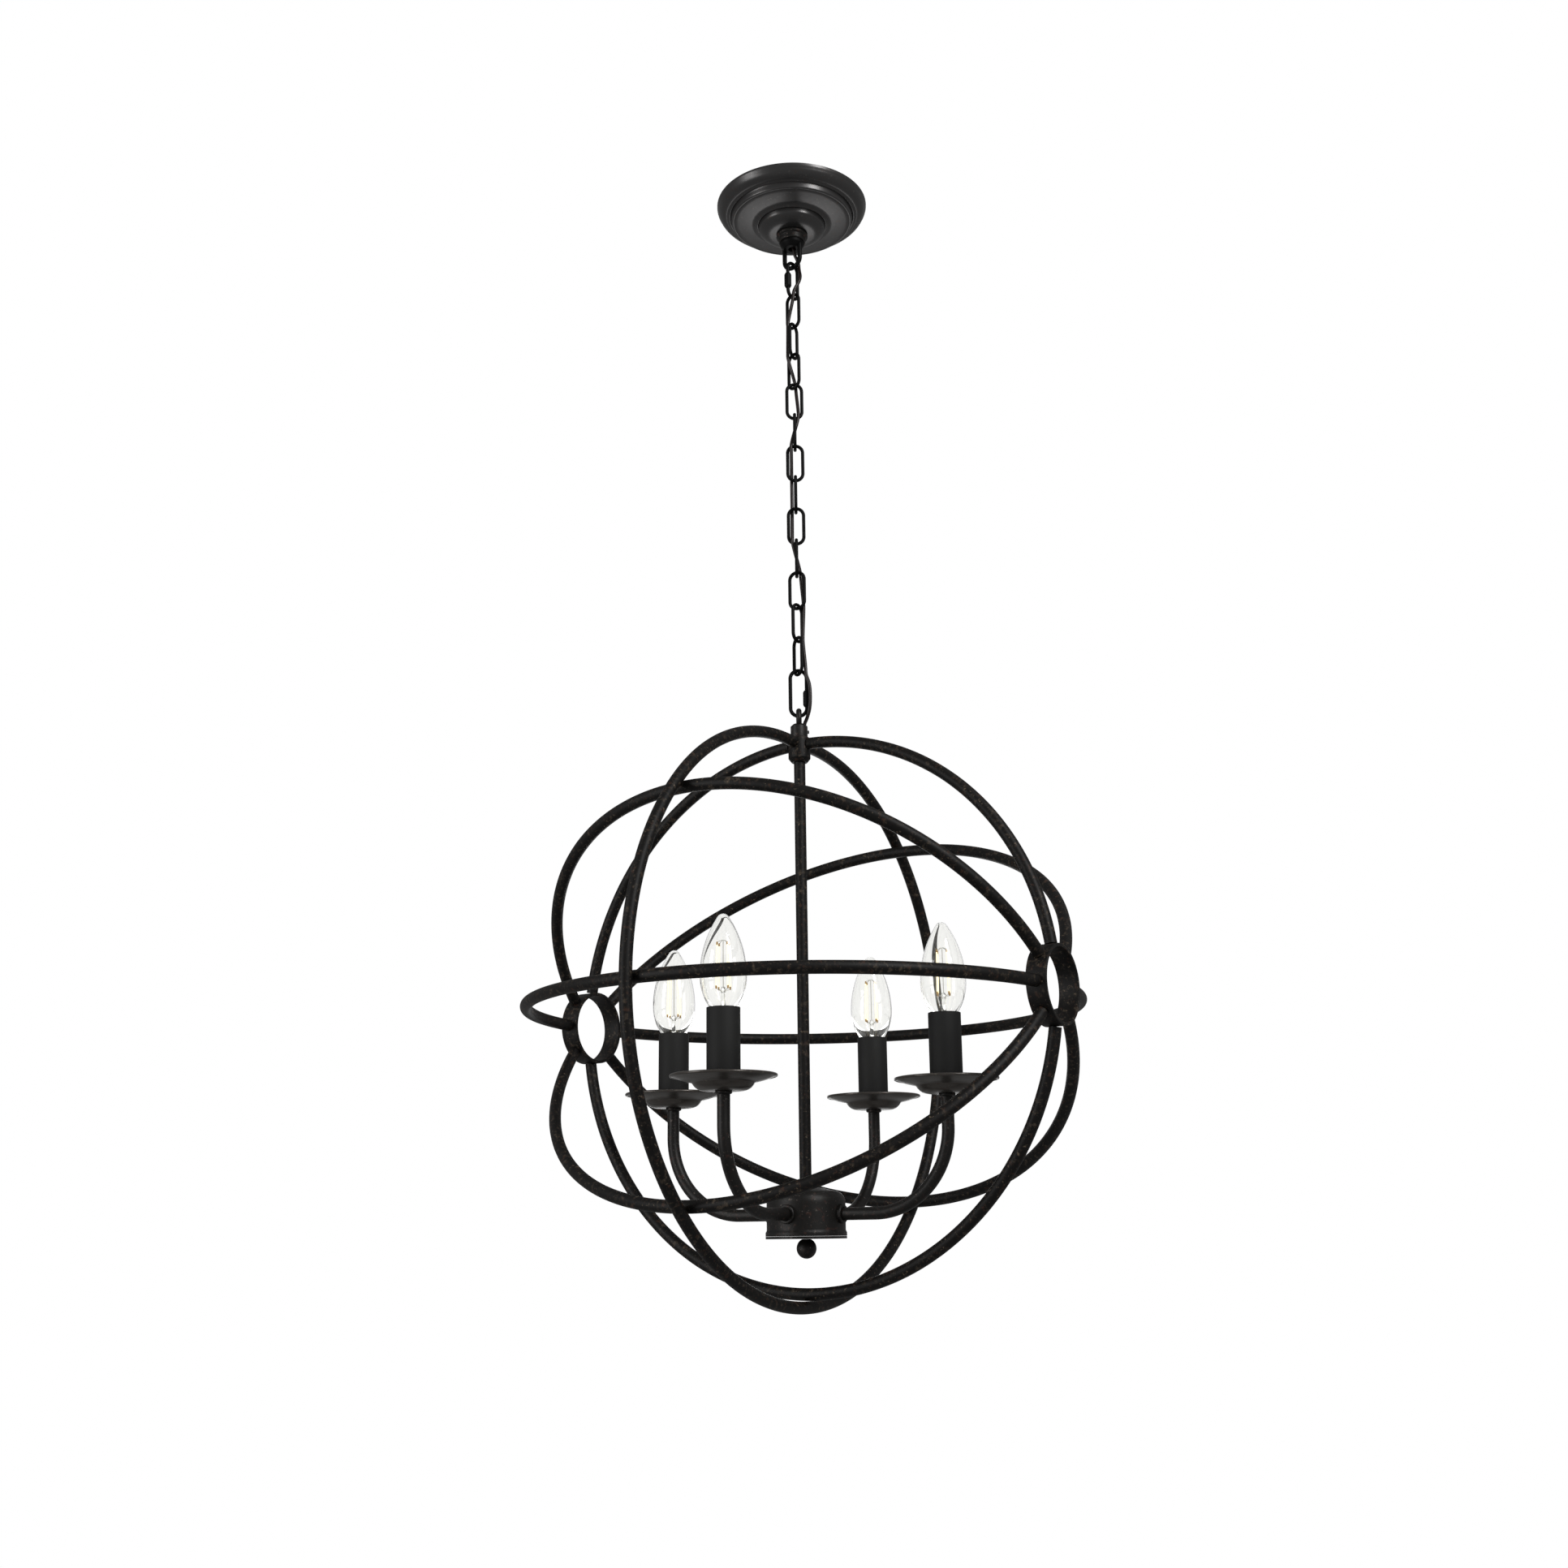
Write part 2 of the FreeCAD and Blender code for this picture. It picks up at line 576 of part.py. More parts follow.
ring_ends = []
ring_half = S["hub_ring_length"] / 2
ring_middle = (cage * cage - S["hub_ring_radius"] * S["hub_ring_radius"]).root()
for side, sign in (("near", 1), ("far", -1)):
    start = ring_middle * sign - ring_half
    band = rod_along_x(f"ring_band_{side}", S["hub_ring_radius"], start, start + ring_half * 2)
    bore = rod_along_x(f"ring_bore_{side}", S["hub_ring_radius"] - S["hub_ring_wall"],
                       start - 1, start + ring_half * 2 + 1)
    ring_ends.append(cut(f"ring_{side}", band, bore))
keep(place(group("hub_ring_pair", ring_ends), z=ORB), "hub_rings", solids=2)


# The half hoops stand an eighth of a turn apart, but for one pair that the photo shows
# welded two degrees round from its even place.
HOOP_TILTS = (0, 45, 137.2, 180, 225, 270, 317.2)


def hoop_piece(name, sweep, tilt, along):
    """A bent rod in a plane through the X axis, cut to fit round the hub rings."""
    bent = ring(f"{name}_bent", cage, hoop, sweep)
    bent.Placement = FreeCAD.Placement(
        FreeCAD.Vector(0, 0, 0),
        FreeCAD.Rotation(FreeCAD.Vector(1, 0, 0), tilt)
        * FreeCAD.Rotation(FreeCAD.Vector(0, 0, 1), along),
    )
    cutter = rod_along_x(f"{name}_end", S["hub_ring_radius"] + weld, ZERO - cage * 1.1, cage * 1.1)
    tools = [cutter]
    if sweep < 180:
        tools.append(cylinder(f"{name}_coupler", S["coupler_radius"] + weld, cage * 0.9,
                              cage * 1.1))
    return place(drilled(name, bent, *tools), z=ORB)


for number, tilt in enumerate(HOOP_TILTS, start=1):
    keep(hoop_piece(f"hoop_{number}", 180.0, tilt, 0), f"half_hoop_{number}")
for number, along in enumerate((0, 90), start=1):
    keep(hoop_piece(f"quarter_{number}", 90.0, 90, along), f"quarter_hoop_{number}")

# The transverse hoop lies outside the others and bends in over each shoulder, so that it
# meets the coupler at the height of the two quarter hoops.
root_half = Size.of(0.5).root()
shoulder = (outer_cage * outer_cage - cage * cage) / (outer_cage * 2 - cage * root_half * 2)
shoulder_radius = outer_cage - shoulder
lower_arc = ring("transverse_lower", outer_cage, hoop, 270.0)
lower_arc.Placement = FreeCAD.Placement(
    FreeCAD.Vector(0, 0, 0),
    FreeCAD.Rotation(FreeCAD.Vector(0, 0, 1), 90)
    * FreeCAD.Rotation(FreeCAD.Vector(1, 0, 0), 90)
    * FreeCAD.Rotation(FreeCAD.Vector(0, 0, 1), 135),
)
shoulders = []
for name, along, sign in (("front", 45, 1), ("back", 90, -1)):
    arc = ring(f"transverse_{name}", shoulder_radius, hoop, 45.0)
    offset = shoulder * root_half
    arc.Placement = FreeCAD.Placement(
        FreeCAD.Vector(0, offset.value * sign, offset.value),
        FreeCAD.Rotation(FreeCAD.Vector(0, 0, 1), 90)
        * FreeCAD.Rotation(FreeCAD.Vector(1, 0, 0), 90)
        * FreeCAD.Rotation(FreeCAD.Vector(0, 0, 1), along),
    )
    arc.setExpression("Placement.Base.y", (offset * sign).text)
    arc.setExpression("Placement.Base.z", offset.text)
    shoulders.append(arc)
transverse = drilled(
    "transverse", fuse("transverse_bent", lower_arc, *shoulders),
    cylinder("transverse_coupler", S["coupler_radius"] + weld, cage * 0.9, cage * 1.1),
)
keep(place(transverse, z=ORB), "transverse_hoop")

# ---------------------------------------------------------------------------------------
# Arm hub, cap and finial
# ---------------------------------------------------------------------------------------
hub_top = ZERO - S["hub_top"]
hub_low = ZERO - S["hub_low"]
crown_low = hub_top - S["hub_crown_drop"]
side_top = crown_low - S["hub_round"]
thick = S["hub_wall"]
drum = turned("hub_drum", [
    (S["rod_radius"] + S["fit"], hub_top), (S["rod_radius"] + 3, hub_top),
    (S["hub_crown"], crown_low), (S["hub_radius"], side_top, -S["hub_round"] * 1.06),
    (S["hub_radius"], hub_low + S["lip_height"]), (S["lip_radius"], hub_low + 2.2),
    (S["lip_radius"], hub_low), (S["hub_radius"] - thick, hub_low),
    (S["hub_radius"] - thick, side_top), (S["hub_crown"], crown_low - thick, S["hub_round"] * 0.82),
    (S["rod_radius"] + S["fit"], hub_top - thick - 0.6),
])
arm_axis = ZERO - S["arm_drop"]
bosses = []
arm_holes = []
for number in range(4):
    boss = rod_along_x(f"hub_boss_{number + 1}", S["boss_radius"], S["hub_radius"] - 1.6,
                       S["boss_reach"], arm_axis)
    hole = rod_along_x(f"hub_hole_{number + 1}", S["arm_radius"] + S["fit"], S["arm_start"],
                       S["boss_reach"] + 2, arm_axis)
    bosses.append(place(group(f"hub_boss_spot_{number + 1}", [boss]), turn=90.0 * number))
    arm_holes.append(place(group(f"hub_hole_spot_{number + 1}", [hole]), turn=90.0 * number))
hub = drilled("hub", fuse("hub_solid", drum, *bosses), *arm_holes)
keep(place(hub, z=ORB, turn=S["arm_turn"]), "arm_hub")

cap_top = hub_low - S["fit"]
cap_low = cap_top - S["cap_height"]
cap = cut("cap", cylinder("cap_plate", S["lip_radius"], cap_low, cap_top),
          cylinder("cap_hole", S["finial_stud"] + S["fit"], cap_low - 1, cap_top + 1))
keep(place(cap, z=ORB), "hub_cap")

ball = doc.addObject("Part::Sphere", "finial_ball")
bind(ball, Radius=S["finial_radius"])
place(ball, z=ZERO - S["finial_drop"])
finial_top = cap_low - S["fit"]
finial_body = fuse("finial_solid", cut("finial_ball_flat", ball, cylinder(
    "finial_trim", S["finial_radius"] * 2, finial_top, finial_top + 20)),
    cylinder("finial_neck_rod", S["finial_neck"], finial_top - 3, finial_top),
    cylinder("finial_stud_rod", S["finial_stud"], finial_top - 3, ZERO - S["finial_stud_top"]))
keep(place(finial_body, z=ORB), "finial")

# ---------------------------------------------------------------------------------------
# Arms, saucers, sleeves, sockets and bulbs
# ---------------------------------------------------------------------------------------
tip_low = ZERO - S["saucer_low"] - S["washer_height"] - S["fit"]
tip_top = tip_low + S["tip_length"]
bend_z = arm_axis + S["arm_bend"]
bend_x = S["lamp_radius"] - S["arm_bend"]


def bent_arm(name, radius, tip, extra):
    """The arm's three runs: out of the hub, a quarter bend, and up to the lamp."""
    run = rod_along_x(f"{name}_run", radius, S["arm_start"] - extra, bend_x, arm_axis)
    elbow = ring(f"{name}_elbow", S["arm_bend"], radius, 90.0)
    elbow.Placement = FreeCAD.Placement(
        FreeCAD.Vector(bend_x.value, 0, bend_z.value),
        FreeCAD.Rotation(FreeCAD.Vector(1, 0, 0), 90)
        * FreeCAD.Rotation(FreeCAD.Vector(0, 0, 1), -90),
    )
    elbow.setExpression("Placement.Base.x", bend_x.text)
    elbow.setExpression("Placement.Base.z", bend_z.text)
    rise = cylinder(f"{name}_rise", radius, bend_z, tip_low, x=S["lamp_radius"])
    end = cylinder(f"{name}_tip", tip, tip_low - 2, tip_top + extra, x=S["lamp_radius"])
    return fuse(name, run, elbow, rise, end)


lamps = []
for number in range(4):
    arm = cut(f"arm_shape_{number + 1}",
              bent_arm(f"arm_solid_{number + 1}", S["arm_radius"], S["tip_radius"], 0),
              bent_arm(f"arm_hollow_{number + 1}", S["arm_bore"], S["tip_bore"], 1))
    angle = S["arm_turn"] + 90.0 * number
    keep(place(arm, z=ORB, turn=angle), f"arm_{number + 1}")
    lamps.append((S["lamp_radius"] * cosine(angle), S["lamp_radius"] * sine(angle), ORB, ZERO))

saucer_low = ZERO - S["saucer_low"]
metal = S["saucer_wall"]
bowl_top = saucer_low + S["saucer_bowl_rise"]
step_top = bowl_top + S["saucer_step"]
rim_z = saucer_low + S["saucer_rise"]
saucer_shell = turned("saucer_shell", [
    (S["tip_radius"] + S["fit"], saucer_low), (S["saucer_foot"], saucer_low),
    (S["saucer_bowl"], bowl_top, S["saucer_bowl"] * 0.42),
    (S["saucer_bowl"] + 1, step_top), (S["saucer_radius"], rim_z, S["saucer_radius"] * 1.2),
    (S["saucer_radius"] - 0.3, rim_z + metal),
    (S["saucer_bowl"] + 0.7, step_top + metal, -S["saucer_radius"] * 1.2),
    (S["saucer_bowl"] - metal, bowl_top + metal),
    (S["saucer_foot"] - 0.2, saucer_low + metal, -S["saucer_bowl"] * 0.4),
    (S["tip_radius"] + S["fit"], saucer_low + metal),
])
roll = ring("saucer_roll", S["saucer_radius"], S["saucer_roll"])
place(roll, z=rim_z + metal / 2)
saucer = fuse("saucer", saucer_shell, roll)
keep(copies("saucer_set", saucer, lamps), "saucers", solids=4)

washer = tube("washer", S["washer_radius"], S["tip_radius"] + S["fit"],
              tip_low + S["fit"], saucer_low - S["fit"])
keep(copies("washer_set", washer, lamps), "saucer_washers", solids=4)

sleeve_low = saucer_low + metal + S["fit"]
sleeve = tube("sleeve", S["sleeve_radius"], S["sleeve_radius"] - S["sleeve_wall"], sleeve_low,
              ZERO - S["sleeve_top"])
keep(copies("sleeve_set", sleeve, lamps), "candle_sleeves", solids=4)

socket_low = ZERO - S["socket_low"]
socket = drilled(
    "socket", cylinder("socket_body", S["socket_radius"], socket_low, ZERO - S["socket_top"]),
    cylinder("socket_well", S["socket_bore"], ZERO - S["socket_floor"],
             ZERO - S["socket_top"] + 1),
    cylinder("socket_thread", S["tip_radius"] + S["fit"], socket_low - 1, tip_top + 0.2),
)
keep(copies("socket_set", socket, lamps), "lamp_sockets", solids=4)

# Bulb outline: a lower arc and an upper arc meet at the belly, and a small nose arc closes
# the top.  The upper arc's radius is the one that touches the nose arc.
belly = S["bulb_radius"]
belly_z = S["bulb_belly"]
nose = S["bulb_nose"]
height = S["bulb_tip"] - belly_z
upper = (belly * belly + (height - nose) * (height - nose) - nose * nose) / ((belly - nose) * 2)
share = upper / (upper - nose)
nose_x = (belly - upper) + (upper - belly) * share
nose_z = belly_z + (height - nose) * share
drop = belly_z + S["bulb_neck_top"]
slim = belly - S["bulb_neck"]
lower = (slim * slim + drop * drop) / (slim * 2)
glass_wall = S["bulb_wall"]
in_upper = (upper - glass_wall) / upper
in_lower = (lower - glass_wall) / lower
in_nose_x = (belly - upper) + (nose_x - belly + upper) * in_upper
in_nose_z = belly_z + (nose_z - belly_z) * in_upper
in_neck_x = (belly - lower) + (S["bulb_neck"] - belly + lower) * in_lower
in_neck_z = belly_z - drop * in_lower
bulb_foot = ZERO - S["bulb_foot"]
glass_corners = [
    (S["bulb_neck"] - glass_wall, bulb_foot), (S["bulb_neck"], bulb_foot),
    (S["bulb_neck"], ZERO - S["bulb_neck_top"]), (belly, belly_z, lower),
    (nose_x, nose_z, upper), (ZERO, S["bulb_tip"], nose),
    (ZERO, S["bulb_tip"] - glass_wall), (in_nose_x, in_nose_z, -(nose - glass_wall)),
    (belly - glass_wall, belly_z, -(upper - glass_wall)),
    (in_neck_x, in_neck_z, -(lower - glass_wall)),
]
cap_foot = bulb_foot - S["fit"] - S["base_length"]
for number, (x, y, z, _) in enumerate(lamps, start=1):
    glass = turned(f"glass_{number}", glass_corners)
    keep(place(glass, x=x, y=y, z=z), f"bulb_glass_{number}")
    stem_top = S["stem_top"]
    circle = S["filament_circle"]
    parts = [
        cylinder(f"base_shell_{number}", S["base_cap"], cap_foot, bulb_foot - S["fit"]),
        cylinder(f"base_contact_{number}", S["contact_radius"],
                 cap_foot - S["contact_height"], cap_foot + 0.1),
        cylinder(f"base_stem_{number}", S["stem_radius"], bulb_foot - 1, stem_top),
        cylinder(f"base_wire_{number}", S["filament_radius"] * 0.6, stem_top - 1,
                 stem_top + S["filament_length"]),
    ]
    for end, level in (("low", stem_top - 1), ("high", stem_top + S["filament_length"] - 1)):
        parts.append(cylinder(f"base_{end}_{number}", circle + S["filament_radius"] * 1.6,
                              level, level + 1))
    for turn in range(4):
        angle = Size.of(45.0 + 90.0 * turn)
        parts.append(cylinder(f"filament_{number}_{turn}", S["filament_radius"], stem_top - 0.5,
                              stem_top + S["filament_length"] - 0.5,
                              x=circle * cosine(angle), y=circle * sine(angle)))
    keep(place(fuse(f"base_{number}", *parts), x=x, y=y, z=z), f"bulb_base_{number}")

# ---------------------------------------------------------------------------------------
# Supply cord
# ---------------------------------------------------------------------------------------
# Where the cord passes each crossing of two links: its direction round the chain, seen
# from above and measured from the right of the view the chain was drawn in, and its
# distance from the chain's axis.  It lies in front of one link, goes through the window of
# the next and so on down.
CROSSINGS = [
    (9, 5.8), (-83, 5.3), (192, 4.9), (187, 5.2), (69, 4.05), (-44, 4.65), (225, 4.6),
    (135, 4.6), (135, 4.6), (228, 5.05), (47, 4.8), (17, 5.6), (-3, 4.3), (-30, 7.2),
]


def spot(direction, reach, level):
    angle = math.radians(direction + S["view_turn"].value)
    return FreeCAD.Vector(reach * math.cos(angle), reach * math.sin(angle), level)


levels = [level.value for level in seats]
route = [spot(0, 0, nipple_high.value + 0.5), spot(0, 0, neck_low.value - 5)]
for number, (direction, reach) in enumerate(CROSSINGS):
    route.append(spot(direction, reach, levels[number] + 0.1))
    if number == 0:
        route.append(spot(-30, 8.6, (levels[0] + levels[1]) / 2))
inlet_top = centre.value + base_top.value
route.append(spot(-28, 10.9, levels[-2] - 12))
route.append(spot(-28, 10.9, levels[-1] + 5))
route.append(spot(-14, 6.8, inlet_top + 4.4))
route.append(spot(0, S["inlet_place"].value, inlet_top + 0.6))
route.append(spot(0, S["inlet_place"].value, inlet_top - S["inlet_depth"].value + 0.3))


def rounded(points, radius):
    """Straight runs with a tangent arc at each corner, as large as the room allows."""
    edges = []
    radii = []
    start = points[0]
    for before, corner, after in zip(points, points[1:], points[2:]):
        come = (corner - before).normalize()
        go = (after - corner).normalize()
        half_turn = come.getAngle(go) / 2
        if half_turn < 1e-4:
            continue
        room = 0.499 * min((corner - before).Length, (after - corner).Length)
        reach = min(radius * math.tan(half_turn), room)
        bend_radius = reach / math.tan(half_turn)
        radii.append(bend_radius)
        first = corner - come * reach
        last = corner + go * reach
        inward = (go - come).normalize()
        middle = corner + inward * (bend_radius / math.cos(half_turn) - bend_radius)
        edges.append(Part.LineSegment(start, first).toShape())
        edges.append(Part.Arc(first, middle, last).toShape())
        start = last
    edges.append(Part.LineSegment(start, points[-1]).toShape())
    return Part.Wire(edges), radii


cord_line, cord_radii = rounded(route, S["cord_bend"].value)
section = Part.Wire([
    Part.Circle(route[0], route[1] - route[0], S["cord_width"].value / 2).toShape()
])
cord = doc.addObject("Part::Feature", "cord")
cord.Shape = cord_line.makePipeShell([section], True, False)
keep(cord, "supply_cord")
print(f"cord: {cord_line.Length:.1f} mm long, volume {cord.Shape.Volume:.0f} mm3 against"
      f" {cord_line.Length * math.pi * (S['cord_width'].value / 2) ** 2:.0f} mm3,"
      f" smallest bend {min(cord_radii):.1f} mm")

# ---------------------------------------------------------------------------------------
# Checks and files
# ---------------------------------------------------------------------------------------
doc.recompute()
for thing in doc.Objects:
    if "Invalid" in thing.State or "Error" in thing.State:
        raise RuntimeError(f"{thing.Name}: {thing.State}")
os.makedirs("parts", exist_ok=True)
for node, (thing, solids) in pieces.items():
    shape = thing.Shape
    if shape.isNull() or not shape.isValid():
        raise RuntimeError(f"{node}: the shape is not valid")
    if len(shape.Solids) != solids:
        raise RuntimeError(f"{node}: {len(shape.Solids)} solids, not {solids}")
    if any(solid.Volume <= 0 for solid in shape.Solids):
        raise RuntimeError(f"{node}: a solid has no volume")
    shape.exportStep(f"parts/{node}.step")
box = Part.makeCompound([thing.Shape for thing, _ in pieces.values()]).BoundBox
print(f"{len(pieces)} nodes, {box.XLength:.1f} x {box.YLength:.1f} x {box.ZLength:.1f} mm,"
      f" z {box.ZMin:.1f} to {box.ZMax:.1f}")
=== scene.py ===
# %% [markdown]
# # Orb chandelier
# A round iron cage hangs from a stepped canopy on a link chain, and a cord is woven
# through the chain.  This notebook dresses the imported CAD model for a photograph: every
# piece that shows is modelled again, finer than in the CAD model, and all but the cord ride
# the same body.

import math

import bmesh
import bpy
from mathutils import Matrix, Vector


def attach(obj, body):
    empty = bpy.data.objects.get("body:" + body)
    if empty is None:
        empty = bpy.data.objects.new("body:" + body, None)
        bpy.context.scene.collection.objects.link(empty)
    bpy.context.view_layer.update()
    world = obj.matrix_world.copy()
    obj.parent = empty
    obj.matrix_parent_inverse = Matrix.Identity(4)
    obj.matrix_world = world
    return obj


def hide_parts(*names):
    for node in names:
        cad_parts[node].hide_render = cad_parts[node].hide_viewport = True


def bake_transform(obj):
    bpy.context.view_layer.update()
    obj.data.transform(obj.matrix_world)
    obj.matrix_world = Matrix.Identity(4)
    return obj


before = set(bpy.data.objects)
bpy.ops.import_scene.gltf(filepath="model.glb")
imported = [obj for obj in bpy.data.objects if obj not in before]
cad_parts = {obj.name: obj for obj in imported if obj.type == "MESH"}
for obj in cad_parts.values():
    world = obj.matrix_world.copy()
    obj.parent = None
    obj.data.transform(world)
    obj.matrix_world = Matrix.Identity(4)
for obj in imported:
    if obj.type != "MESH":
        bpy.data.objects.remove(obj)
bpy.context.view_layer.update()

MM = 0.001
VIEW_TURN = 32.3
SIDES = 32

# %% [markdown]
# ## Sizes
# Heights are counted from the ceiling, as in the CAD model: each chain link hangs in the
# one above, so its height follows from the wires and a little play.  Sizes of the cage and
# the lamps are counted from the cage's middle.
#
# Lesson: working the chain out link by link, in place of typing heights, keeps the meshes
# interlocked when a size changes.

# %%
LINK_WIRE, LINK_LENGTH, LINK_WIDTH = 2.9, 35.25, 15.8
QUICK_WIRE, QUICK_WIDTH = 3.1, 16.6
TOP_QUICK, BOTTOM_QUICK = 37.3, 42.6
PLAY = 0.25
LOOP_WIRE, LOOP_LOW, LOOP_WIDTH, LOOP_TURN = 4.0, 63.1, 21.0, -38
LINK_TURNS = [-38, 62, -47, 5, 90, 0, 90, 0, 90, 160, 235, 300]

CHAIN = [("quick_link_top", QUICK_WIRE, TOP_QUICK, QUICK_WIDTH, 52)]
for number, turn in enumerate(LINK_TURNS, start=1):
    CHAIN.append((f"chain_link_{number:02d}", LINK_WIRE, LINK_LENGTH, LINK_WIDTH, turn))
CHAIN.append(("quick_link_bottom", QUICK_WIRE, BOTTOM_QUICK, QUICK_WIDTH, 0))

seats = [LOOP_WIRE - LOOP_LOW]
tops = []
for _, wire, length, _, _ in CHAIN:
    tops.append(seats[-1] + PLAY + wire)
    seats.append(tops[-1] - length + wire)

EYE_WIRE, EYE_WIDTH, EYE_HEIGHT = 4.6, 17.0, 13.8
CAGE, HOOP, HUB_RING = 217.0, 4.8, 30.0
WELD_GAP = 0.05
COUPLER_TOP = CAGE + 5.5
COUPLER_HEIGHT, BASE_HEIGHT = 20.7, 12.0
BASE_TOP = COUPLER_TOP + BASE_HEIGHT
CENTRE = seats[-1] + PLAY + EYE_WIRE - (BASE_TOP + EYE_HEIGHT)
OUTER = CAGE + 2 * HOOP + WELD_GAP
HOOP_TILTS = (0, 45, 137.2, 180, 225, 270, 317.2)
COUPLER_REACH = 9.0
ARM_TURN, ARM_BEND, ARM_LEVEL = 3.7, 62.0, -158.0
LAMP_RADIUS = 121.5
LAMPS = 4

# %% [markdown]
# ## Meshes
# Nearly everything here is either turned on a lathe or bent from a rod.  The two builders
# below cover both: a profile is spun about Z, and a ring of vertices is carried along a
# path with no twist.
#
# Lesson: real edges are never perfectly sharp.  A bevel with a small radius on every corner
# is what catches a line of light.


# %%
def finished(name, mesh_data, node, body, material, smooth=35.0):
    """Turn a bmesh into a piece that stands for a CAD node and rides its body."""
    name = name.replace(" ", "_")
    mesh = bpy.data.meshes.new(name)
    mesh_data.normal_update()
    mesh_data.to_mesh(mesh)
    mesh_data.free()
    mesh.materials.append(material)
    mesh.shade_smooth()
    mesh.set_sharp_from_angle(angle=math.radians(smooth))
    piece = bpy.data.objects.new(name, mesh)
    bpy.context.scene.collection.objects.link(piece)
    if node is not None:
        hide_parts(*([node] if isinstance(node, str) else node))
    if body is not None:
        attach(piece, body)
    return piece


def scaled(mesh_data):
    """From millimetres to metres."""
    bmesh.ops.scale(mesh_data, vec=(MM, MM, MM), verts=mesh_data.verts)
    return mesh_data


def moved(mesh_data, x=0.0, y=0.0, z=0.0, turn=0.0, tilt_x=0.0, tilt_y=0.0):
    """Tilt about X and Y, turn about Z, then shift; all in millimetres and degrees."""
    matrix = (
        Matrix.Translation((x, y, z))
        @ Matrix.Rotation(math.radians(turn), 4, "Z")
        @ Matrix.Rotation(math.radians(tilt_x), 4, "X")
        @ Matrix.Rotation(math.radians(tilt_y), 4, "Y")
    )
    bmesh.ops.transform(mesh_data, matrix=matrix, verts=mesh_data.verts)
    return mesh_data


def joined(*parts):
    """Several bmeshes in one."""
    whole = bmesh.new()
    for part in parts:
        holder = bpy.data.meshes.new("holder")
        part.to_mesh(holder)
        part.free()
        whole.from_mesh(holder)
        bpy.data.meshes.remove(holder)
    return whole


def arc(centre, radius, start, end, steps):
    """Points on an arc; angles in degrees."""
    points = []
    for step in range(steps + 1):
        angle = math.radians(start + (end - start) * step / steps)
        points.append((centre[0] + radius * math.cos(angle), centre[1] + radius * math.sin(angle)))
    return points


def softened(profile, radius, closed=True, steps=3):
    """Round each corner of a profile with a small curve; nearly straight ones stay."""
    count = len(profile)
    points = []
    for index, corner in enumerate(profile):
        if not closed and index in (0, count - 1):
            points.append(corner)
            continue
        here = Vector(corner)
        before = Vector(profile[index - 1])
        after = Vector(profile[(index + 1) % count])
        come = here - before
        go = after - here
        half = come.angle(go) / 2
        if half < math.radians(6) or corner[0] < 1e-6:
            points.append(corner)
            continue
        reach = min(radius * math.tan(half), 0.4 * min(come.length, go.length))
        first = here - come.normalized() * reach
        last = here + go.normalized() * reach
        for step in range(steps + 1):
            share = step / steps
            a = first.lerp(here, share)
            b = here.lerp(last, share)
            points.append(tuple(a.lerp(b, share)))
    return points


def lathe(profile, sides=96, edge=0.4, closed=True):
    """Spin a profile of (radius, height) points about Z."""
    mesh_data = bmesh.new()
    points = softened(profile, edge, closed) if edge else profile
    verts = [mesh_data.verts.new((max(r, 0.0), 0.0, z)) for r, z in points]
    edges = [mesh_data.edges.new(pair) for pair in zip(verts, verts[1:])]
    if closed:
        edges.append(mesh_data.edges.new((verts[-1], verts[0])))
    bmesh.ops.spin(
        mesh_data, geom=verts + edges, cent=(0, 0, 0), axis=(0, 0, 1),
        angle=math.tau, steps=sides, use_merge=True, use_duplicate=False,
    )
    bmesh.ops.remove_doubles(mesh_data, verts=mesh_data.verts, dist=1e-4)
    bmesh.ops.dissolve_degenerate(mesh_data, dist=1e-5, edges=mesh_data.edges)
    bmesh.ops.recalc_face_normals(mesh_data, faces=mesh_data.faces)
    return mesh_data


def swept(path, section, closed=False, wobble=None):
    """Carry a section along a path, turned as little as possible from point to point."""
    mesh_data = bmesh.new()
    points = [Vector(p) for p in path]
    count = len(points)
    rings = []
    normal = None
    for index, point in enumerate(points):
        ahead = points[(index + 1) % count] if closed or index + 1 < count else point
        behind = points[index - 1] if closed or index > 0 else point
        along = (ahead - behind).normalized()
        if normal is None:
            seed = Vector((0, 1, 0)) if abs(along.y) < 0.9 else Vector((1, 0, 0))
            normal = (seed - along * seed.dot(along)).normalized()
        else:
            normal = (normal - along * normal.dot(along)).normalized()
        side = along.cross(normal)
        factor = wobble(index / max(count - 1, 1)) if wobble else 1.0
        rings.append([
            mesh_data.verts.new(point + (normal * u + side * v) * factor) for u, v in section
        ])
    pairs = list(zip(rings, rings[1:]))
    if closed:
        pairs.append((rings[-1], rings[0]))
    size = len(section)
    for first, second in pairs:
        for index in range(size):
            after = (index + 1) % size
            mesh_data.faces.new((first[index], first[after], second[after], second[index]))
    if not closed:
        mesh_data.faces.new(reversed(rings[0]))
        mesh_data.faces.new(rings[-1])
    bmesh.ops.recalc_face_normals(mesh_data, faces=mesh_data.faces)
    return mesh_data


def disc(radius, sides=None):
    """The section of a round rod."""
    sides = sides or SIDES
    return [(radius * math.cos(math.tau * k / sides), radius * math.sin(math.tau * k / sides))
            for k in range(sides)]


INSET = 0.03
BAR_SECTION = disc(HOOP - INSET)


# %% [markdown]
# ## Finishes
# The ironwork is near-black paint over iron, rubbed by hand so that a brown shows on
# patches, with a few brown and pale flecks.  The canopy and saucers carry the same paint,
# smoother.
#
# Lesson: four noise patterns at different scales, each pushed through its own threshold,
# read as hand rubbing.  One noise pattern reads as noise.


